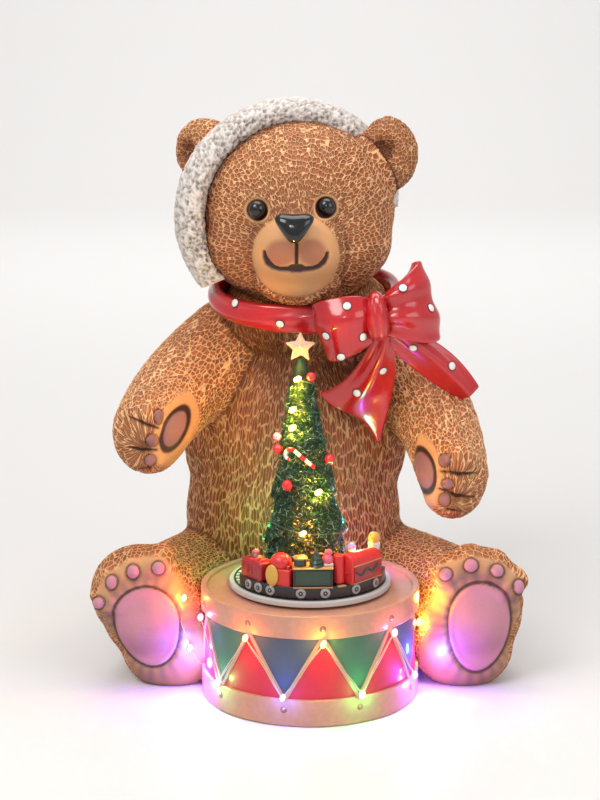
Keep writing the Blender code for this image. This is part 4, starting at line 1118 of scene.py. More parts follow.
# Tails as (x, y) of the frame and the depth in millimetres
TAILS = {
    "bow_tail_down": (
        ((374, 336, -13), (380, 333, -19), (388, 333, -19), (394, 338, -13)),
        ((367, 352, -9), (374, 356, -17), (389, 356, -17), (398, 356, -8)),
        ((347, 388, 2), (364, 388, -9), (384, 386, -8), (400, 384, 3)),
        ((319, 392, 13), (329, 420, 7), (359, 402, 5), (378, 446, 12)),
    ),
    "bow_tail_right": (
        ((384, 338, -13), (388, 333, -19), (394, 329, -19), (398, 325, -13)),
        ((402, 364, -4), (410, 352, -13), (420, 344, -13), (430, 334, -4)),
        ((428, 382, 4), (438, 372, -4), (450, 362, -4), (458, 350, 5)),
        ((461, 401, 8), (468, 399, 4), (475, 395, 4), (480, 387, 9)),
    ),
}
LOOPS = {
    "bow_loop_left": (
        ((47, -20, 254), (46, -27, 263), (46, -27, 277), (47, -20, 287)),
        ((37, -30, 247), (36, -43, 262), (36, -43, 282), (37, -30, 295)),
        ((21, -32, 239), (18, -45, 258), (16, -44, 281), (18, -32, 293)),
        ((13, -26, 238), (5, -33, 256), (1, -31, 274), (-1, -25, 285)),
        ((13, -17, 241), (6, -18, 256), (2, -17, 272), (1, -18, 282)),
    ),
    "bow_loop_right": (
        ((54, -20, 261), (55, -26, 269), (55, -26, 283), (54, -20, 292)),
        ((66, -28, 256), (67, -37, 271), (66, -36, 289), (65, -26, 302)),
        ((84, -22, 252), (84, -30, 270), (80, -27, 293), (78, -17, 310)),
        ((99, -10, 250), (102, -13, 268), (90, -12, 297), (84, -5, 316)),
        ((98, -1, 253), (99, -3, 269), (89, -4, 294), (83, 2, 312)),
    ),
}
DOTS = (
    (347, 306), (326, 336), (363, 337), (341, 357), (403, 288), (431, 308), (413, 348), (452, 366),
    (383, 371), (357, 393), (235, 303), (280, 324), (270, 300),
)


def pleats(count, height, ease):
    """Folds fanning out from the knot, eased towards its far end and at both edges."""
    def fold(u, v):
        edges = np.sin(math.pi * np.clip(v, 0.06, 0.94)) ** 0.5
        return height * np.cos(count * math.tau * v + 1.5 * u) * (1 - ease * u) * edges
    return fold


def raised_dots(places, carriers):
    """White dots standing out of scarf and bow, each on a thin dark bed."""
    look = settings().dress
    white, bed = [], []
    for px, py in places:
        _, _, best = cast(px, py, carriers)
        if best is None:
            continue
        place, normal = best
        turn = normal.to_track_quat("Z", "Y").to_euler()
        for pieces, wide, high in ((white, 1.0, 0.42), (bed, 1.22, 0.16)):
            radius = look.dot_radius * wide
            pieces.append(bead(place, (radius, radius, look.dot_radius * high), turn))
    return joined(white, "bow_dots"), joined(bed, "bow_dot_beds")


class BEARFIGURE_OT_face(bpy.types.Operator):
    """Model the eyes and the nose"""

    bl_idname = "bear_figure.face"
    bl_label = "Eyes and nose"

    def execute(self, context):
        deselect()
        pitch = (0.006, 0.006, 0.007)
        black = plain_paint("gloss_black", pitch, 0.16, coat=0.35, mottle=0.05, depth=0.00002)
        size = (6.3 * MM, 5.4 * MM, 6.5 * MM)
        eyes = [bead(at(x, EYE_DEPTH, z), size, segments=32, rings=20) for x, z in EYES]
        for piece in (joined(eyes, "eyes"), shaped_nose()):
            smooth(piece)
            wear(piece, black, "bear")
        return {"FINISHED"}


class BEARFIGURE_OT_hat(bpy.types.Operator):
    """Model the hat's cloth, its fleece brim and its bobble"""

    bl_idname = "bear_figure.hat"
    bl_label = "Hat"

    def execute(self, context):
        deselect()
        look = settings().dress
        white = fleece_material()
        brim = hat_brim()
        bobble = ball((-29, 146, 296), (18.4, 16.4, 18.4), detail=6)
        bobble.name = "hat_bobble"
        for piece, seed in ((brim, 3), (bobble, 8)):
            fleece(piece, look.pit, seed)
            smooth(piece)
            wear(piece, white, "bear")
        red = plain_paint("hat_cloth", look.hat_red, 0.35, mottle=0.35, grain=500.0, coat=0.3)
        wear(smooth(hat_crown()), red, "bear")
        return {"FINISHED"}


class BEARFIGURE_OT_bow(bpy.types.Operator):
    """Model the scarf, the bow and their raised dots"""

    bl_idname = "bear_figure.bow"
    bl_label = "Scarf and bow"

    def execute(self, context):
        deselect()
        look = settings().dress
        red = plain_paint("bow_gloss", look.bow_red, 0.22, mottle=0.30, grain=420.0, depth=0.00008, coat=0.8,
                          mottle_scale=30.0)
        scarf = neck_scarf()
        carriers = [scarf]
        for name, rows in LOOPS.items():
            count, height = (1.5, 1.7) if name.endswith("left") else (2.4, 2.6)
            carriers.append(bezier_patch(name, rows, pleats(count, height, 0.55), 8.0))
        for name, rows in TAILS.items():
            grid = [[on_sight(px, py, depth) for px, py, depth in row] for row in rows]
            carriers.append(bezier_patch(name, grid, pleats(1.6, 1.8, 0.7), 3.4))
        bpy.ops.mesh.primitive_uv_sphere_add(segments=48, ring_count=32, radius=1.0, location=(0, 0, 0))
        knot = settle(bpy.context.object, "bow_knot")
        p = points_of(knot)
        x, z = (np.sign(v) * np.abs(v) ** 0.8 for v in (p[:, 0], p[:, 2]))
        groove = 1.0 - 0.16 * bump(x * 10 + 1.5 * z, 2.0) * (p[:, 1] < 0)
        across = 49.5 + (8.6 - 1.2 * z) * x - 1.5 * z
        place_points(knot, np.stack([across, -25 + 12.5 * p[:, 1] * groove, 275 + 18.5 * z], axis=1) * MM)
        carriers.append(outward(knot))
        for piece in carriers:
            smooth(piece)
            wear(piece, red, "bear")
        dots, beds = raised_dots(DOTS, carriers)
        white = plain_paint("dot_white", look.dot, 0.35, mottle=0.12, coat=0.3)
        wear(smooth(dots), white, "bear")
        wear(smooth(beds), plain_paint("dot_shade", (0.035, 0.004, 0.006), 0.4), "bear")
        return {"FINISHED"}


# Drum, plate and train

DRUM_PLACE = np.array((0.0, -65.0, 0.0))
DRUM_RADIUS = 78.0
HOOPS = ((0.0, 20.0), (65.5, 82.5))
DRUMHEAD = 80.0
LACE_TURN = math.radians(6.3)
LACE_STEP = math.tau / 9
PLATE_TOP = 86.3
TRAIN_FLOOR = 87.5
TRACK = 48.0
SKIRT_TOP = 8.5
SKIRT_HALF = 7.5
LACE_TOP, LACE_FOOT = 66.5, 19.0
RIVET_TOP, RIVET_FOOT = 73.2, 12.4
RAILS = (44.5, 55.5)
RAIL_TOP = PLATE_TOP + 0.9
SLEEPERS = 48


def on_drum(angle, height, radius):
    """A place round the drum, in millimetres; angle 0 is the front and grows towards +X."""
    return Vector((radius * math.sin(angle), DRUM_PLACE[1] - radius * math.cos(angle), height))


def lace_ends():
    """Ends of the laces as (angle, is_top)."""
    ends = []
    for k in range(-2, 3):
        ends += [(LACE_TURN + (k - 0.5) * LACE_STEP, False), (LACE_TURN + k * LACE_STEP, True)]
    return ends[:-1]


def lace_height(is_top):
    return LACE_TOP if is_top else LACE_FOOT


def spun(name, profile, steps=144):
    """A turned piece about the drum's axis from a closed line of (radius, height) points."""
    mesh = bpy.data.meshes.new(name)
    points = [(r * MM, DRUM_PLACE[1] * MM, h * MM) for r, h in profile]
    count = len(points)
    mesh.from_pydata(points, [(i, (i + 1) % count) for i in range(count)], [])
    thing = pick(linked(name, mesh))
    bpy.ops.object.mode_set(mode="EDIT")
    bpy.ops.mesh.select_all(action="SELECT")
    bpy.ops.mesh.spin(steps=steps, angle=math.tau, center=(0, DRUM_PLACE[1] * MM, 0), axis=(0, 0, 1))
    bpy.ops.mesh.select_all(action="SELECT")
    bpy.ops.mesh.remove_doubles(threshold=0.00001)
    bpy.ops.mesh.normals_make_consistent(inside=False)
    bpy.ops.object.mode_set(mode="OBJECT")
    return smooth(settle(thing, name), 35)


def eased(profile, ease):
    """Round each marked corner of a (radius, height, rounded) line."""
    line = []
    count = len(profile)
    for i, (r, h, rounded) in enumerate(profile):
        if not rounded:
            line.append((r, h))
            continue
        here = np.array((r, h))
        before = np.array(profile[i - 1][:2]) - here
        after = np.array(profile[(i + 1) % count][:2]) - here
        start = here + before / np.linalg.norm(before) * ease
        end = here + after / np.linalg.norm(after) * ease
        for t in (0, 0.25, 0.5, 0.75, 1):
            line.append(tuple((1 - t) ** 2 * start + 2 * t * (1 - t) * here + t * t * end))
    return line


def drum_wall():
    """The drum's side between the hoops, its triangles told apart by an attribute."""
    bpy.ops.mesh.primitive_cylinder_add(
        vertices=360, radius=DRUM_RADIUS * MM, depth=46.6 * MM, end_fill_type="NOTHING",
        location=(0, DRUM_PLACE[1] * MM, 42.8 * MM),
    )
    wall = settle(bpy.context.object, "drum_wall")
    shape = bmesh.new()
    shape.from_mesh(wall.data)
    upright = [e for e in shape.edges if abs(e.verts[0].co.z - e.verts[1].co.z) > 0.01]
    bmesh.ops.subdivide_edges(shape, edges=upright, cuts=34, use_grid_fill=True)
    shape.to_mesh(wall.data)
    shape.free()
    centres = np.empty(len(wall.data.polygons) * 3)
    wall.data.polygons.foreach_get("center", centres)
    centres = centres.reshape(-1, 3) / MM
    angle = np.arctan2(centres[:, 0], -(centres[:, 1] - DRUM_PLACE[1]))
    turn = (angle - LACE_TURN) / LACE_STEP
    share = np.abs(turn - np.round(turn)) * 2
    height = (centres[:, 2] - LACE_FOOT) / (LACE_TOP - LACE_FOOT)
    hanging = height > 1 - share
    which = np.where(hanging, 1 + np.mod(np.floor(turn), 2), 0)
    look = settings().drum
    # Painted light: every second hanging triangle is green paint shown grey-blue, as under the beads' blue
    # light
    table = np.array([(*look.red, 1), (*look.green, 1), (*look.blue_lit_green, 1)])
    colours = np.repeat(table[which.astype(int)], 4, axis=0)
    store(wall, "panel", "FLOAT_COLOR", "color", colours, "CORNER")
    return wall


def strip(name, line, wide, thick, normals):
    """A flat band through a line of points, in millimetres."""
    shape = bmesh.new()
    rings = []
    for i, place in enumerate(line):
        ahead = (line[min(i + 1, len(line) - 1)] - line[max(i - 1, 0)]).normalized()
        out = normals[i]
        side = ahead.cross(out).normalized()
        ring = []
        for across, up in ((-1, 0), (-0.8, 1), (0, 1.25), (0.8, 1), (1, 0)):
            ring.append(shape.verts.new((place + side * (across * wide / 2) + out * (up * thick)) * MM))
        rings.append(ring)
    for low, high in zip(rings, rings[1:]):
        for k in range(5):
            n = (k + 1) % 5
            shape.faces.new((low[k], low[n], high[n], high[k]))
    shape.faces.new(rings[0])
    shape.faces.new(rings[-1])
    bmesh.ops.recalc_face_normals(shape, faces=shape.faces)
    return shaped(name, shape, 50)


def lace_line(start, end, radius, steps=16):
    """A lace's line round the drum from one end to the next, with the way out at each point."""
    (a, a_top), (b, b_top) = start, end
    foot, rise = lace_height(a_top), lace_height(b_top) - lace_height(a_top)
    line, normals = [], []
    for i in range(steps + 1):
        t = i / steps
        angle = a + (b - a) * t
        line.append(on_drum(angle, foot + rise * t, radius))
        normals.append(Vector((math.sin(angle), -math.cos(angle), 0)))
    return line, normals


def tube(name, line, radius, sides=8, closed=False):
    """A round wire through a line of points, in millimetres, made from a curve."""
    curve = bpy.data.curves.new(name, "CURVE")
    curve.dimensions = "3D"
    curve.bevel_depth = radius * MM
    curve.bevel_resolution = max(0, sides // 2 - 2)
    curve.use_fill_caps = True
    spline = curve.splines.new("POLY")
    spline.points.add(len(line) - 1)
    for point, place in zip(spline.points, line):
        point.co = (*(Vector(place) * MM), 1.0)
    spline.use_cyclic_u = closed
    pick(linked(name, curve))
    bpy.ops.object.convert(target="MESH")
    return smooth(bpy.context.object)


def dome(place, outward_way, radius, high, segments=20):
    """A domed stud on a surface."""
    turn = Vector(outward_way).to_track_quat("Z", "Y").to_euler()
    return bead(Vector(place) * MM, (radius * MM, radius * MM, high * MM), turn, segments, segments // 2)


class BEARFIGURE_OT_drum(bpy.types.Operator):
    """Model the drum: hoops, coloured triangles, laces and rivets"""

    bl_idname = "bear_figure.drum"
    bl_label = "Drum"

    def execute(self, context):
        deselect()
        look = settings().drum
        rose = plain_paint("drum_rose", look.rose, 0.38, mottle=0.30, grain=260.0, depth=0.00015, coat=0.25,
                           mottle_scale=26.0)
        outer = DRUM_RADIUS + 2.5
        top = HOOPS[1][1]
        lower = spun("drum_hoop_lower", eased((
            (60.0, 0.0, False), (outer, 0.0, True), (outer, 20.0, True), (DRUM_RADIUS - 1, 20.0, False),
            (60.0, 20.0, False)), 1.1))
        upper = spun("drum_hoop_upper", eased((
            (DRUM_RADIUS - 1, 65.5, False), (outer, 65.5, True), (outer, top, True), (outer - 5, top, True),
            (outer - 5, DRUMHEAD, False), (60.0, DRUMHEAD, False), (60.0, 65.5, False)), 1.1))
        bpy.ops.mesh.primitive_cylinder_add(vertices=144, radius=62 * MM, depth=(DRUMHEAD - 0.4) * MM,
                                            location=(0, DRUM_PLACE[1] * MM, (DRUMHEAD + 0.36) / 2 * MM))
        head = settle(bpy.context.object, "drum_head")
        for piece in (lower, upper, smooth(head, 35)):
            wear(piece, rose, "bear")
        wall = smooth(drum_wall())
        material, nodes, links, shader = new_material("drum_panels")
        colour = attribute_socket(nodes, "panel", "Color")
        add_grain(nodes, links, shader, colour, 240.0, 22.0, 0.22, 0.00012)
        dial(shader, {"Roughness": 0.34, "Coat Weight": 0.35})
        wear(wall, material, "bear")
        ends = lace_ends()
        laces, rivets, rings = [], [], []
        for start, end in zip(ends, ends[1:]):
            line, normals = lace_line(start, end, DRUM_RADIUS - 0.2)
            laces.append(strip("lace", line, 3.0, 1.2, normals))
        for angle, is_top in ends:
            height = RIVET_TOP if is_top else RIVET_FOOT
            out = (math.sin(angle), -math.cos(angle), 0)
            rivets.append(dome(on_drum(angle, height, outer - 0.2), out, 1.9, 1.7))
            rings.append(dome(on_drum(angle, height, outer - 0.2), out, 2.7, 0.5))
        lace_tan = plain_paint("lace_tan", look.lace, 0.4, mottle=0.25, depth=0.00012)
        wear(joined(laces, "drum_laces"), lace_tan, "bear")
        rose_deep = plain_paint("rivet_rose", look.rivet, 0.25, mottle=0.2, metallic=0.6)
        wear(smooth(joined(rivets, "drum_rivets")), rose_deep, "bear")
        shade = plain_paint("rivet_shade", look.shade, 0.5, mottle=0.2)
        wear(smooth(joined(rings, "rivet_rings")), shade, "bear")
        return {"FINISHED"}


def track_matrix(angle, outward=0.0, height=0.0):
    """A place on the train's arc: X along the track, Y outwards, Z up."""
    turn = Matrix.Rotation(angle + math.pi, 4, "Z")
    return Matrix.Translation(on_drum(angle, TRAIN_FLOOR + height, TRACK + outward) * MM) @ turn


def placed(place):
    """Turn the picked primitive's own mesh into its place."""
    thing = bpy.context.object
    thing.data.transform(place)
    return thing


def box_on(angle, lengths, height, outward=0.0, bevel=0.4, tilt=0.0, segments=3):
    bpy.ops.mesh.primitive_cube_add(size=1.0, location=(0, 0, 0))
    thing = bpy.context.object
    thing.data.transform(Matrix.Diagonal((*(v * MM for v in lengths), 1)))
    modified(thing, "BEVEL", width=bevel * MM, segments=segments, limit_method="NONE")
    place = track_matrix(math.radians(angle), outward, height + lengths[2] / 2)
    thing.data.transform(place @ Matrix.Rotation(math.radians(tilt), 4, "Y"))
    return smooth(thing, 40)


def round_on(angle, radii, height, outward=0.0, lie=None, tilt=0.0, top=None, sides=28, bevel=0.4):
    """A turned column: upright, lying along the track (X) or facing outwards (Y)."""
    radius, long = radii
    bpy.ops.mesh.primitive_cone_add(vertices=sides, radius1=radius * MM, depth=long * MM,
                                    radius2=(radius if top is None else top) * MM, location=(0, 0, 0))
    thing = bpy.context.object
    sharp = math.radians(50)
    modified(thing, "BEVEL", width=bevel * MM, segments=3, limit_method="ANGLE", angle_limit=sharp)
    way = {None: Matrix.Identity(4), "X": Matrix.Rotation(math.radians(90), 4, "Y"),
           "Y": Matrix.Rotation(math.radians(90), 4, "X")}[lie]
    place = track_matrix(math.radians(angle), outward, height)
    thing.data.transform(place @ Matrix.Rotation(math.radians(tilt), 4, "Y") @ way)
    return smooth(thing, 40)


def ball_on(angle, radii, height, outward=0.0):
    bpy.ops.mesh.primitive_uv_sphere_add(segments=28, ring_count=18, radius=1.0, location=(0, 0, 0))
    thing = bpy.context.object
    place = track_matrix(math.radians(angle), outward, height)
    thing.data.transform(place @ Matrix.Diagonal((*(v * MM for v in radii), 1)))
    return smooth(thing)


def frame_on(angle, long, high, height, outward, wide=0.9, thick=1.2):
    """A rim of four bars on a wagon's side."""
    bars = []
    for up in (0, high - wide):
        bars.append(box_on(angle, (long, thick, wide), height + up, outward, 0.25, segments=2))
    for side in (-1, 1):
        shift = math.degrees(side * (long - wide) / 2 / (TRACK + outward))
        bars.append(box_on(angle + shift, (wide, thick, high), height, outward, 0.25, segments=2))
    return bars


def skirt():
    """The curved black bed under the wagons."""
    steps = 64
    shape = bmesh.new()
    rings = []
    half, top, ease = SKIRT_HALF, SKIRT_TOP, 0.4
    section = ((-half, 0.0), (half - ease, 0.0), (half, ease), (half, top - ease), (half - ease, top),
               (ease - half, top), (-half, top - ease))
    for i in range(steps + 1):
        angle = math.radians(-68 + 154 * i / steps)
        places = [on_drum(angle, TRAIN_FLOOR + up, TRACK + out) * MM for out, up in section]
        rings.append([shape.verts.new(place) for place in places])
    count = len(section)
    for low, high in zip(rings, rings[1:]):
        for k in range(count):
            shape.faces.new((low[k], low[(k + 1) % count], high[(k + 1) % count], high[k]))
    shape.faces.new(rings[0])
    shape.faces.new(rings[-1])
    bmesh.ops.recalc_face_normals(shape, faces=shape.faces)
    return shaped("skirt", shape, 40)


def train_parts():
    """Every part of the train, under the name of its paint."""
    deck = SKIRT_TOP - 0.5
    side = SKIRT_HALF
    paints = ("black", "grey", "dark_red", "red", "ochre", "gold", "green", "pink", "white")
    parts = {name: [] for name in paints}
    parts["black"].append(skirt())
    for a in (-53, -42, -31, -7, 11, 36, 58):
        parts["grey"].append(round_on(a, (3.7, 1.6), 4.3, side + 0.3, "Y", bevel=0.5))
        parts["black"].append(round_on(a, (1.7, 0.5), 4.3, side + 1.05, "Y", bevel=0.1, sides=16))
        parts["grey"].append(ball_on(a, (0.7, 0.7, 0.7), 4.3, side + 1.2))
    # Engine: a ribbed barrel on a cab, a knob and a lamp ahead of it
    parts["dark_red"].append(box_on(-52, (24.0, 14.4, 14.6), deck, 0, 2.4))
    for a in (-61, -55.5, -50, -44.5):
        parts["dark_red"].append(round_on(a, (8.3, 3.0), deck + 8.0, 0, "X", 0, bevel=1.2))
    parts["dark_red"].append(ball_on(-62, (5, 5, 4), deck + 7.5))
    parts["grey"].append(round_on(-55, (2.0, 4.0), deck + 17.0))
    parts["pink"].append(ball_on(-55, (2.7, 2.7, 1.6), deck + 19.0))
    parts["ochre"].append(ball_on(-29.5, (5.2, 1.9, 8.0), deck + 7.6, side + 0.5))
    parts["red"].append(box_on(-25, (18.5, 14.5, 12.6), deck, 0, 1.4))
    parts["red"].append(ball_on(-26, (8.0, 7.6, 7.2), deck + 15.8))
    parts["dark_red"].append(box_on(-17.5, (2.4, 12.0, 15.0), deck, 0, 0.6))
    # Open wagon with its load
    parts["black"].append(box_on(2, (28.4, 14.4, 14.2), deck, 0, 0.5))
    parts["green"].append(box_on(2, (24.6, 1.6, 10.4), deck + 2.6, side, 0.5))
    parts["gold"] += frame_on(2, 28.6, 14.8, deck + 0.2, side + 0.2)
    parts["gold"].append(box_on(2, (29.4, 15.6, 1.3), deck + 14.0, 0, 0.5))
    parts["green"].append(round_on(-8.5, (4.5, 6.0), deck + 18.2, 1.0))
    parts["gold"].append(round_on(-8.5, (5.3, 1.6), deck + 21.0, 1.0, bevel=0.7))
    for wide, up in ((6.4, 0), (5.2, 2.8), (3.9, 5.6), (2.4, 8.2)):
        tier = round_on(4.5, (wide, 4.0), deck + 17.0 + up, 2.0, top=wide * 0.35, bevel=0.3, tilt=8)
        parts["green"].append(tier)
    parts["pink"].append(ball_on(14.5, (4.2, 4.2, 4.6), deck + 19.0, 1.0))
    parts["white"].append(box_on(14.5, (7.2, 7.6, 2.2), deck + 15.0, 1.0, 0.8))
    parts["gold"].append(box_on(8, (13.0, 1.8, 1.1), deck + 23.2, 0.5, 0.4, -6))
    parts["pink"].append(ball_on(15.5, (2.8, 2.6, 2.6), deck + 24.4, 0.5))
    # Red lantern between the wagons
    parts["red"].append(round_on(24.5, (4.3, 21.0), deck + 11.5, 1.0, top=3.9, bevel=1.2))
    parts["gold"].append(box_on(24, (6.6, 3.6, 1.0), deck - 0.2, side - 1.0, 0.3))
    # Round-topped coach with its framed and garlanded side
    parts["red"].append(box_on(48, (32.4, 14.4, 14.6), deck, 0, 0.8))
    parts["red"].append(round_on(48, (7.8, 33.4), deck + 13.4, 0, "X", -4, bevel=1.0))
    parts["dark_red"].append(box_on(48, (28.6, 1.4, 12.4), deck + 1.2, side, 0.3))
    parts["gold"] += frame_on(48, 30.6, 13.6, deck + 0.6, side + 0.2, 0.8)
    wave = []
    for i in range(25):
        t = i / 24
        sag = 1.7 * math.cos(2.2 * math.tau * t) + 1.2 * t
        place = track_matrix(math.radians(48), side + 1.1, deck + 7.6 + sag)
        wave.append(place @ Vector(((0.5 - t) * 27.0 * MM, 0, 0)) / MM)
    parts["green"].append(tube("garland", wave, 0.75, 10))
    # End post with its lamp
    parts["black"].append(box_on(79, (6.6, 7.6, 25.0), 1.0, 0, 0.5))
    parts["white"].append(round_on(77, (4.0, 6.0), 26.5, 0, top=4.6, bevel=0.8))
    parts["ochre"].append(ball_on(77, (4.3, 4.3, 4.6), 32.5))
    return parts


class BEARFIGURE_OT_train(bpy.types.Operator):
    """Model the plate with its rails and sleepers, and the little train on it"""

    bl_idname = "bear_figure.train"
    bl_label = "Plate and train"

    def execute(self, context):
        deselect()
        look = settings().drum
        rim = spun("plate", eased((
            (0.5, 80.3, False), (50.0, 80.3, False), (50.0, 82.1, False), (59.5, 82.1, True),
            (59.5, PLATE_TOP, True), (0.5, PLATE_TOP, False)), 0.9))
        grey = plain_paint("plate_grey", look.plate, 0.34, mottle=0.22, grain=300.0, depth=0.00008, coat=0.3)
        wear(rim, grey, "track_plate")
        foot = PLATE_TOP - 0.3
        rails = [
            spun("rail", ((r - 0.75, foot), (r + 0.75, foot), (r + 0.6, RAIL_TOP), (r - 0.6, RAIL_TOP)))
            for r in RAILS
        ]
        black = plain_paint("train_black", look.black, 0.32, mottle=0.4, grain=400.0, depth=0.00008, coat=0.3)
        wear(joined(rails, "rails"), black, "track_plate")
        low, high = PLATE_TOP - 0.2, PLATE_TOP + 0.12
        bed = spun("track_bed", ((45.0, low), (55.0, low), (55.0, high), (45.0, high)))
        wear(bed, plain_paint("bed_dark", look.bed, 0.6, mottle=0.3), "track_plate")
        sleepers = []
        for k in range(SLEEPERS):
            bpy.ops.mesh.primitive_cube_add(size=1.0, location=(0, 0, 0))
            angle = math.tau * k / SLEEPERS
            middle = Matrix.Translation(on_drum(angle, PLATE_TOP + 0.1, sum(RAILS) / 2) * MM)
            place = middle @ Matrix.Rotation(angle, 4, "Z")
            sleepers.append(placed(place @ Matrix.Diagonal((4.1 * MM, 9.6 * MM, 0.7 * MM, 1))))
        pale = plain_paint("sleeper_white", look.sleeper, 0.45, mottle=0.2)
        wear(joined(sleepers, "sleepers"), pale, "track_plate")
        deep = plain_paint("train_dark_red", look.dark_red, 0.3, mottle=0.35, coat=0.4)
        paints = {
            "black": (black, "train_black"),
            "grey": (plain_paint("wheel_grey", look.grey, 0.35, 0.5, mottle=0.3), "train_grey"),
            "dark_red": (deep, "train_red"),
            "red": (plain_paint("train_red", look.train_red, 0.25, mottle=0.25, coat=0.5), "train_red"),
            "ochre": (plain_paint("train_ochre", look.ochre, 0.35, mottle=0.25, coat=0.2), "train_gold"),
            "gold": (plain_paint("train_gold", look.gold, 0.35, 0.55, mottle=0.35), "train_gold"),
            "green": (plain_paint("train_green", look.pine, 0.35, mottle=0.5, coat=0.2), "train_black"),
            "pink": (plain_paint("train_pink", look.pink, 0.3, mottle=0.4, coat=0.3), "train_red"),
            "white": (plain_paint("train_white", look.sleeper, 0.4, mottle=0.2), "plate_grey"),
        }
        for name, pieces in train_parts().items():
            material, slot = paints[name]
            wear(joined(pieces, f"train_{name}"), material, "train")
        return {"FINISHED"}


# Tree, hanging trim and lights

TREE_FOOT = 86.6
TREE_TALL = 165.5
TREE_RADIUS, TREE_TAPER = 36.0, 30.0
TREE_SHIFT, TREE_LEAN = -2.0, 0.03
TIERS = 5
DROP_RADIUS, DROP_LONG = 2.1, 6.2
TREE_LIGHTS = ((-14, 0.918), (-28, 0.785), (-26, 0.707), (24, 0.429), (-4, 0.254), (70, 0.121))
GLOWS = {
    "yellow": (1.0, 0.52, 0.04),
    "orange": (1.0, 0.20, 0.02),
    "pink": (1.0, 0.12, 0.28),
    "green": (0.08, 1.0, 0.18),
    "blue": (0.07, 0.14, 1.0),
    "violet": (0.38, 0.09, 1.0),
    "cyan": (0.06, 0.90, 0.62),
}
DRUM_GLOWS = ("pink", "green", "orange", "blue", "yellow", "green", "pink", "violet")
TREE_GLOWS = ("yellow", "yellow", "yellow", "yellow", "orange", "yellow")
WIRE_RADIUS = 0.32
# Lamps for the coloured light on the body and the plate: place in millimetres, colour, watts
SPILL = (
    ((-38, -40, 116), "green", 0.060), ((37, -46, 130), "cyan", 0.045), ((46, -36, 104), "violet", 0.060),
    ((-88, -94, 12), "violet", 0.070), ((88, -96, 12), "violet", 0.120), ((96, -74, 30), "blue", 0.060),
    ((-78, -84, 26), "blue", 0.050), ((82, -74, 74), "yellow", 0.060),
)


def envelope(height):
    """Outer radius of the tinsel at a height above its foot."""
    return TREE_RADIUS - TREE_TAPER * np.clip(height / TREE_TALL, 0, 1) ** 0.92


def on_tree(turn, height, radius):
    """A place beside the tree's leaning axis."""
    across = TREE_SHIFT - TREE_LEAN * height + radius * math.sin(turn)
    return Vector((across, DRUM_PLACE[1] - radius * math.cos(turn), TREE_FOOT + height))


def needles():
    """Foil needles in every direction over the tree's stacked skirts, marked for their painted glints and
    shade.
    """
    look = settings().tree
    rng = np.random.default_rng(11)
    count = look.needles
    height = TREE_TALL * (1 - np.sqrt(1 - 0.985 * rng.random(count)))
    turn = rng.random(count) * math.tau
    tier = (height / TREE_TALL * TIERS + 0.15 * np.sin(3 * turn)) % 1.0
    flare = 1.02 - 0.17 * tier + 0.04 * np.sin(turn * 5 + height / 7.0)
    deep = rng.random(count) ** 1.6
    radius = envelope(height) * flare * (1 - 0.20 * deep)
    out = np.stack([np.sin(turn), -np.cos(turn), 0 * turn], axis=1)
    around = np.stack([np.cos(turn), np.sin(turn), 0 * turn], axis=1)
    up = np.array((0.0, 0.0, 1.0))
    axis = TREE_SHIFT - TREE_LEAN * height
    centre = np.stack([axis, 0 * height + DRUM_PLACE[1], TREE_FOOT + height], axis=1)
    centre = centre + out * radius[:, None]
    spin = rng.random(count) * math.tau
    lift = 0.15 + 0.55 * rng.random(count)
    way = around * np.cos(spin)[:, None] + up * np.sin(spin)[:, None] + out * lift[:, None]
    way /= np.linalg.norm(way, axis=1)[:, None]
    side = np.cross(way, out + 0.8 * rng.normal(size=(count, 3)))
    side /= np.linalg.norm(side, axis=1)[:, None]
    half = (1.3 + 1.3 * rng.random(count))[:, None] * np.minimum(1.0, radius / 9.0)[:, None]
    wide = (0.26 + 0.14 * rng.random(count))[:, None]
    foot = centre - way * half
    corners = np.stack([foot - side * wide, foot + side * wide, centre + way * half], axis=1).reshape(-1, 3)
    corners[:, 2] = np.maximum(corners[:, 2], TREE_FOOT + 0.1)
    mesh = bpy.data.meshes.new("tree_needles")
    mesh.vertices.add(count * 3)
    mesh.vertices.foreach_set("co", (corners * MM).ravel())
    mesh.loops.add(count * 3)
    mesh.loops.foreach_set("vertex_index", np.arange(count * 3, dtype=np.int32))
    mesh.polygons.add(count)
    mesh.polygons.foreach_set("loop_start", np.arange(0, count * 3, 3, dtype=np.int32))
    mesh.update(calc_edges=True)
    thing = linked("tree_needles", mesh)
    # Painted glints and shade: one needle in ten takes the palest foil colour as a glint, the rest vary at
    # random, and deeper needles are painted darker as shade
    bright = np.where(rng.random(count) < 0.10, 1.0, 0.55 * rng.random(count) ** 1.5) * (1 - 0.75 * deep)
    mark(thing, "foil", np.repeat(bright, 3))
    return thing


def foil_material():
    look = settings().tree
    material, nodes, links, shader = new_material("tinsel_foil")
    ramp = nodes.new("ShaderNodeValToRGB")
    ramp.color_ramp.elements[0].color = (*look.dark, 1)
    # Painted glint: the palest colour of the foil, reached by the glinting needles
    ramp.color_ramp.elements[1].color = (0.42, 0.62, 0.40, 1)
    middle = ramp.color_ramp.elements.new(0.55)
    middle.color = (*look.green, 1)
    links.new(attribute_socket(nodes, "foil"), ramp.inputs["Fac"])
    links.new(ramp.outputs["Color"], shader.inputs["Base Color"])
    dial(shader, {"Roughness": 0.30, "Metallic": 0.25, "Coat Weight": 0.5})
    return material


def tree_core():
    """The closed heart of the tree under its needles, in the foil's shaded green as painted shade between the
    needles.
    """
    profile = [(0.1, TREE_FOOT)]
    for k in range(TIERS):
        for share, flare in ((0.0, 0.72), (0.12, 0.86), (0.75, 0.70)):
            height = (k + share) * TREE_TALL / TIERS
            profile.append((float(envelope(height)) * flare, TREE_FOOT + height))
    profile += [(2.5, TREE_FOOT + TREE_TALL), (0.1, TREE_FOOT + TREE_TALL)]
    core = spun("tree_core", profile, 32)
    places = points_of(core) / MM
    places[:, 0] += TREE_SHIFT - TREE_LEAN * (places[:, 2] - TREE_FOOT)
    place_points(core, places * MM)
    return core


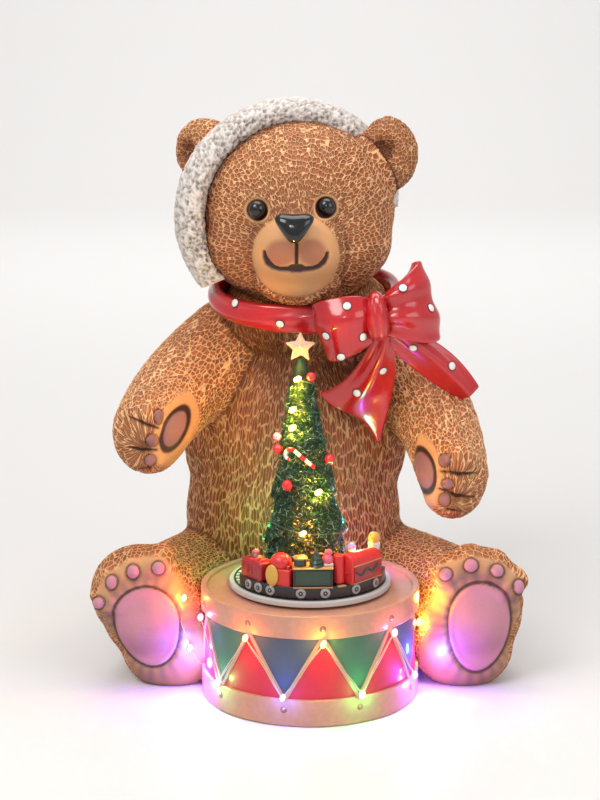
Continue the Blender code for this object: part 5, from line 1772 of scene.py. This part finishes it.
def star():
    """The five-pointed star with its softened facets."""
    shape = bmesh.new()
    centre = on_tree(0.0, TREE_TALL + 7.58, 0.0)
    rim = []
    for i in range(10):
        angle = math.tau * i / 10
        radius = 13.0 if i % 2 == 0 else 6.2
        rim.append(shape.verts.new(centre + Vector((radius * math.sin(angle), 0, radius * math.cos(angle)))))
    for side in (-1, 1):
        peak = shape.verts.new(centre + Vector((0, side * 3.2, 0)))
        for i in range(10):
            shape.faces.new((rim[i], rim[(i + 1) % 10], peak))
    bmesh.ops.recalc_face_normals(shape, faces=shape.faces)
    edges = list(shape.edges)
    bmesh.ops.bevel(shape, geom=edges, offset=0.55, segments=2, affect="EDGES", clamp_overlap=True)
    bmesh.ops.scale(shape, vec=(MM, MM, MM), verts=shape.verts)
    return shaped("tree_top_star", shape, 30)


def hung_ball(name, turn, share, scale, over_wire=False):
    """A ball hanging against the tinsel."""
    radius = 3.6 * scale
    height = TREE_TALL * share
    stand = 3.2 if over_wire else 0.3
    place = on_tree(math.radians(turn), height, float(envelope(height)) + radius + stand)
    bpy.ops.mesh.primitive_uv_sphere_add(segments=32, ring_count=20, radius=radius * MM, location=place * MM)
    return smooth(settle(bpy.context.object, name))


def cane():
    """The striped cane lying aslant on the tinsel."""
    hook = 3.7
    line = [Vector((0, 0, -11.5 + 19.3 * i / 24)) for i in range(25)]
    for k in range(1, 15):
        a = math.pi * 1.15 * k / 14
        line.append(Vector((hook - hook * math.cos(a), 0, 7.8 + hook * math.sin(a))))
    height = TREE_TALL * 0.583
    place = (Matrix.Translation(on_tree(math.radians(-3), height, float(envelope(height)) + 2.9))
             @ Matrix.Rotation(math.radians(-3), 4, "Z") @ Matrix.Rotation(math.radians(-50), 4, "Y")
             @ Matrix.Scale(-1, 4, Vector((1, 0, 0))))
    thing = tube("cane", [place @ p for p in line], 1.45, 12)
    thing.name = "cane"
    axis = np.array([tuple(place @ p) for p in line])
    nearest = np.argmin(np.linalg.norm(points_of(thing)[:, None] / MM - axis[None], axis=2), axis=1)
    mark(thing, "stripe", (np.mod(nearest + 2, 13) < 6).astype(float))
    return outward(thing)


def drop_height(is_top):
    return lace_height(is_top) + (-3.4 if is_top else 3.4)


def drop(place, axis):
    """One clear drop of light, long along its axis."""
    turn = Vector(axis).to_track_quat("Z", "Y").to_euler()
    return bead(Vector(place) * MM, (DROP_RADIUS * MM, DROP_RADIUS * MM, DROP_LONG / 2 * MM), turn)


def lit(place, colour, power, size=1.6):
    """A small coloured lamp that throws one bead's light on what is near it."""
    light = bpy.data.lights.new("bead_light", "POINT")
    light.color = GLOWS[colour]
    light.energy = power
    light.shadow_soft_size = size * MM
    linked("bead_light", light).location = Vector(place) * MM


class BEARFIGURE_OT_tree(bpy.types.Operator):
    """Model the tinsel tree, its star, balls and cane"""

    bl_idname = "bear_figure.tree"
    bl_label = "Tree"

    def execute(self, context):
        deselect()
        look = settings().tree
        # Painted shade: the tree's heart takes the shaded green of the foil
        wear(tree_core(), plain_paint("tinsel_shaded_heart", look.dark, 0.7, mottle=0.4), "tree")
        wear(needles(), foil_material(), "tree")
        copper = plain_paint("star_copper", look.copper, 0.28, 0.75, mottle=0.25, depth=0.00015)
        wear(star(), copper, "tree_star")
        red = plain_paint("ball_red", look.red, 0.12, mottle=0.15, coat=0.6, depth=0.00003)
        rose = plain_paint("ball_rose", look.rose, 0.2, mottle=0.3, coat=0.4)
        lilac = plain_paint("ball_lilac", look.lilac, 0.2, mottle=0.3, coat=0.4)
        for name, turn, share, scale, paint, over in (
            ("red_top", 38, 0.9275, 0.94, red, False), ("red_left", -62, 0.604, 1.0, red, False),
            ("red_middle", -26, 0.465, 1.06, red, True), ("red_right", 58, 0.562, 1.0, red, False),
            ("pink", -75, 0.653, 0.89, rose, False), ("lavender", 72, 0.157, 1.0, lilac, False),
        ):
            wear(hung_ball(f"ball_{name}", turn, share, scale, over), paint, f"ornament_{name}")
        material, nodes, links, shader = new_material("cane_stripes")
        colour = mixed(nodes, links, attribute_socket(nodes, "stripe"), look.cane, look.red)
        add_grain(nodes, links, shader, colour, 500.0, 40.0, 0.15, 0.0001, roughness=False)
        dial(shader, {"Roughness": 0.25, "Coat Weight": 0.4})
        wear(cane(), material, "candy_cane")
        return {"FINISHED"}


class BEARFIGURE_OT_lights(bpy.types.Operator):
    """Model both light strings, with a lit bead at every turn"""

    bl_idname = "bear_figure.lights"
    bl_label = "Light strings"

    def execute(self, context):
        deselect()
        look = settings().tree
        beads = {name: [] for name in GLOWS}
        # Drum string: two thin wires beside each lace, a bead at each end
        radius = DRUM_RADIUS + 5.4
        ends = lace_ends()[1:]
        wires = []
        for shift in (-0.9, 0.9):
            line = []
            for (a, a_top), (b, b_top) in zip(ends, ends[1:]):
                foot, rise = drop_height(a_top), drop_height(b_top) - drop_height(a_top)
                for i in range(10):
                    t = i / 10
                    sway = shift * math.sin(math.pi * t) + 0.5 * math.sin(9 * t + 5 * a)
                    reach = radius - 2.2 * math.sin(math.pi * t)
                    line.append(on_drum(a + (b - a) * t + sway / radius, foot + rise * t, reach))
            line.append(on_drum(ends[-1][0], drop_height(ends[-1][1]), radius))
            wires.append(tube("wire", line, WIRE_RADIUS, 6))
        for (angle, is_top), colour in zip(ends, DRUM_GLOWS):
            place = on_drum(angle, drop_height(is_top), radius)
            beads[colour].append((place, (0.35 * math.cos(angle), 0.35 * math.sin(angle), 1.0), "drum"))
            lit(on_drum(angle, drop_height(is_top), radius + 3.2), colour, 0.036)
        # Beads of the same string on the legs beside the drum
        skins = [bpy.data.objects[n] for n in ("bear_leg_left", "bear_leg_right")]
        for px, py, colour in ((184, 598, "orange"), (190, 648, "blue"), (419, 622, "yellow")):
            place = Vector(on_skin(px, py, 2.3, skins, -40.0))
            beads[colour].append((place, (0.2, 0, 1), "drum"))
            lit(place + Vector((0, -5, 1)), colour, 0.050)
        spots = ((206, 607), (196, 596), (184, 598), (181, 622), (190, 648), (201, 664))
        carriers = skins + [bpy.data.objects["drum_wall"]]
        wires.append(tube("wire", [Vector(on_skin(*p, 1.0, carriers, -60.0)) for p in spots], WIRE_RADIUS, 6))
        pale = plain_paint("wire_pale", look.wire, 0.3, 0.4)
        wear(joined(wires, "drum_wire"), pale, "drum_light_string")
        # Tree string
        line = []
        lights = [(math.radians(a), share * TREE_TALL) for a, share in TREE_LIGHTS]
        for (a, high), (b, low) in zip(lights, lights[1:]):
            for i in range(36):
                t = i / 36
                height = high + (low - high) * t
                line.append(on_tree(a + (math.tau + b - a) * t, height, float(envelope(height)) + 2.2))
        line.append(on_tree(lights[-1][0], lights[-1][1], float(envelope(lights[-1][1])) + 2.2))
        green = plain_paint("wire_green", (0.03, 0.12, 0.08), 0.35)
        wear(tube("tree_wire", line, 0.42, 6), green, "tree_light_string")
        for (turn, height), colour in zip(lights, TREE_GLOWS):
            place = on_tree(turn, height, float(envelope(height)) + 2.4)
            beads[colour].append((place, (math.cos(turn), 0, 0.6), "tree"))
            lit(place + Vector((math.sin(turn), -math.cos(turn), 0)) * 5.0, colour, 0.10)
        for place, colour, power in SPILL:
            lit(place, colour, power, 4.0)
        for colour, items in beads.items():
            for home in ("drum", "tree"):
                chosen = [drop(place, axis) for place, axis, where in items if where == home]
                if chosen:
                    piece = smooth(joined(chosen, f"beads_{home}_{colour}"))
                    glow = glow_material(f"bead_{colour}", GLOWS[colour], 2.4)
                    wear(piece, glow, f"{home}_light_string")
        return {"FINISHED"}


# Stage

def area_light(name, place, target, size, watts, colour=(1.0, 1.0, 1.0)):
    bpy.ops.object.light_add(type="AREA", location=place)
    lamp = bpy.context.object
    lamp.name = name
    lamp.data.shape = "RECTANGLE"
    lamp.data.size, lamp.data.size_y = size
    lamp.data.energy = watts
    lamp.data.color = colour
    lamp.rotation_euler = (Vector(target) - Vector(place)).to_track_quat("-Z", "Y").to_euler()
    return lamp


class BEARFIGURE_OT_stage(bpy.types.Operator):
    """Set the pale floor, the soft lights and the camera"""

    bl_idname = "bear_figure.stage"
    bl_label = "Stage and camera"

    def execute(self, context):
        deselect()
        bpy.ops.mesh.primitive_plane_add(size=1.0, location=(0, 0.6, -0.0004))
        floor = bpy.context.object
        floor.scale = (7.0, 6.0, 1.0)
        settle(floor, "studio_floor")
        bpy.ops.object.mode_set(mode="EDIT")
        bpy.ops.mesh.select_all(action="DESELECT")
        bpy.ops.object.mode_set(mode="OBJECT")
        for edge in floor.data.edges:
            edge.select = all(floor.data.vertices[v].co.y > 3.0 for v in edge.vertices)
        bpy.context.tool_settings.mesh_select_mode = (False, True, False)
        bpy.ops.object.mode_set(mode="EDIT")
        bpy.ops.mesh.extrude_region_move(TRANSFORM_OT_translate={"value": (0, 0, 4.0)})
        bpy.ops.object.mode_set(mode="OBJECT")
        modified(floor, "BEVEL", width=1.2, segments=12, limit_method="ANGLE")
        smooth(floor)
        material, _, _, shader = new_material("studio_pale")
        dial(shader, {"Base Color": (0.74, 0.728, 0.72, 1.0), "Roughness": 0.55})
        floor.data.materials.append(material)

        area_light("key_soft", (-1.0, -1.2, 1.9), (0, 0, 0.2), (1.1, 1.1), 25.0, (1.0, 0.985, 0.96))
        area_light("fill_soft", (1.5, -1.2, 1.0), (0, 0, 0.2), (1.2, 1.2), 9.0, (0.97, 0.98, 1.0))
        area_light("top_soft", (0.1, 0.3, 1.9), (0, 0.05, 0.2), (1.6, 1.2), 18.0)
        area_light("wall_wash", (0.0, 1.6, 1.6), (0, 3.4, 0.2), (2.4, 0.6), 26.0)
        area_light("eye_glint", (-0.15, -1.5, 0.95), (0, 0, 0.35), (0.10, 0.10), 1.2)

        world = bpy.data.worlds.new("studio_air")
        world.use_nodes = True
        air = world.node_tree.nodes["Background"]
        dial(air, {"Color": (1.0, 0.985, 0.975, 1.0), "Strength": 0.50})
        context.scene.world = world
        context.scene.view_settings.view_transform = "Standard"

        bpy.ops.object.camera_add(location=CAMERA_PLACE, rotation=(CAMERA_PITCH, 0.0, 0.0))
        camera = bpy.context.object
        camera.data.lens = CAMERA_LENS
        camera.data.sensor_width = SENSOR
        context.scene.camera = camera
        return {"FINISHED"}


# Panel and start

PIECES = (
    ("bear_figure.skin", "skin"),
    ("bear_figure.face", "skin"),
    ("bear_figure.hat", "dress"),
    ("bear_figure.bow", "dress"),
    ("bear_figure.drum", "drum"),
    ("bear_figure.train", "drum"),
    ("bear_figure.tree", "tree"),
    ("bear_figure.lights", "tree"),
    ("bear_figure.stage", None),
)


class BearFigureSettings(bpy.types.PropertyGroup):
    """All settings of the figure."""

    skin: PointerProperty(type=BearFigureSkin)
    dress: PointerProperty(type=BearFigureDress)
    drum: PointerProperty(type=BearFigureDrum)
    tree: PointerProperty(type=BearFigureTree)


class BEARFIGURE_PT_panel(bpy.types.Panel):
    """Sizes, colours and building steps of the figure"""

    bl_idname = "BEARFIGURE_PT_panel"
    bl_label = "Bear figure"
    bl_space_type = "VIEW_3D"
    bl_region_type = "UI"
    bl_category = "Bear figure"

    def draw(self, context):
        shown = set()
        for operator, group in PIECES:
            self.layout.operator(operator)
            if group and group not in shown:
                shown.add(group)
                values = getattr(settings(), group)
                for name in values.__annotations__:
                    self.layout.prop(values, name)


CLASSES = [
    BearFigureSkin, BearFigureDress, BearFigureDrum, BearFigureTree, BearFigureSettings,
    BEARFIGURE_OT_skin,
    BEARFIGURE_OT_face,
    BEARFIGURE_OT_hat,
    BEARFIGURE_OT_bow,
    BEARFIGURE_OT_drum,
    BEARFIGURE_OT_train,
    BEARFIGURE_OT_tree,
    BEARFIGURE_OT_lights,
    BEARFIGURE_OT_stage,
    BEARFIGURE_PT_panel,
]


def register():
    for item in CLASSES:
        bpy.utils.register_class(item)
    bpy.types.Scene.bear_figure = PointerProperty(type=BearFigureSettings)


def unregister():
    del bpy.types.Scene.bear_figure
    for item in reversed(CLASSES):
        bpy.utils.unregister_class(item)


def main():
    register()
    for operator, _ in PIECES:
        family, name = operator.split(".")
        getattr(getattr(bpy.ops, family), name)()


if __name__ == "__main__":
    main()
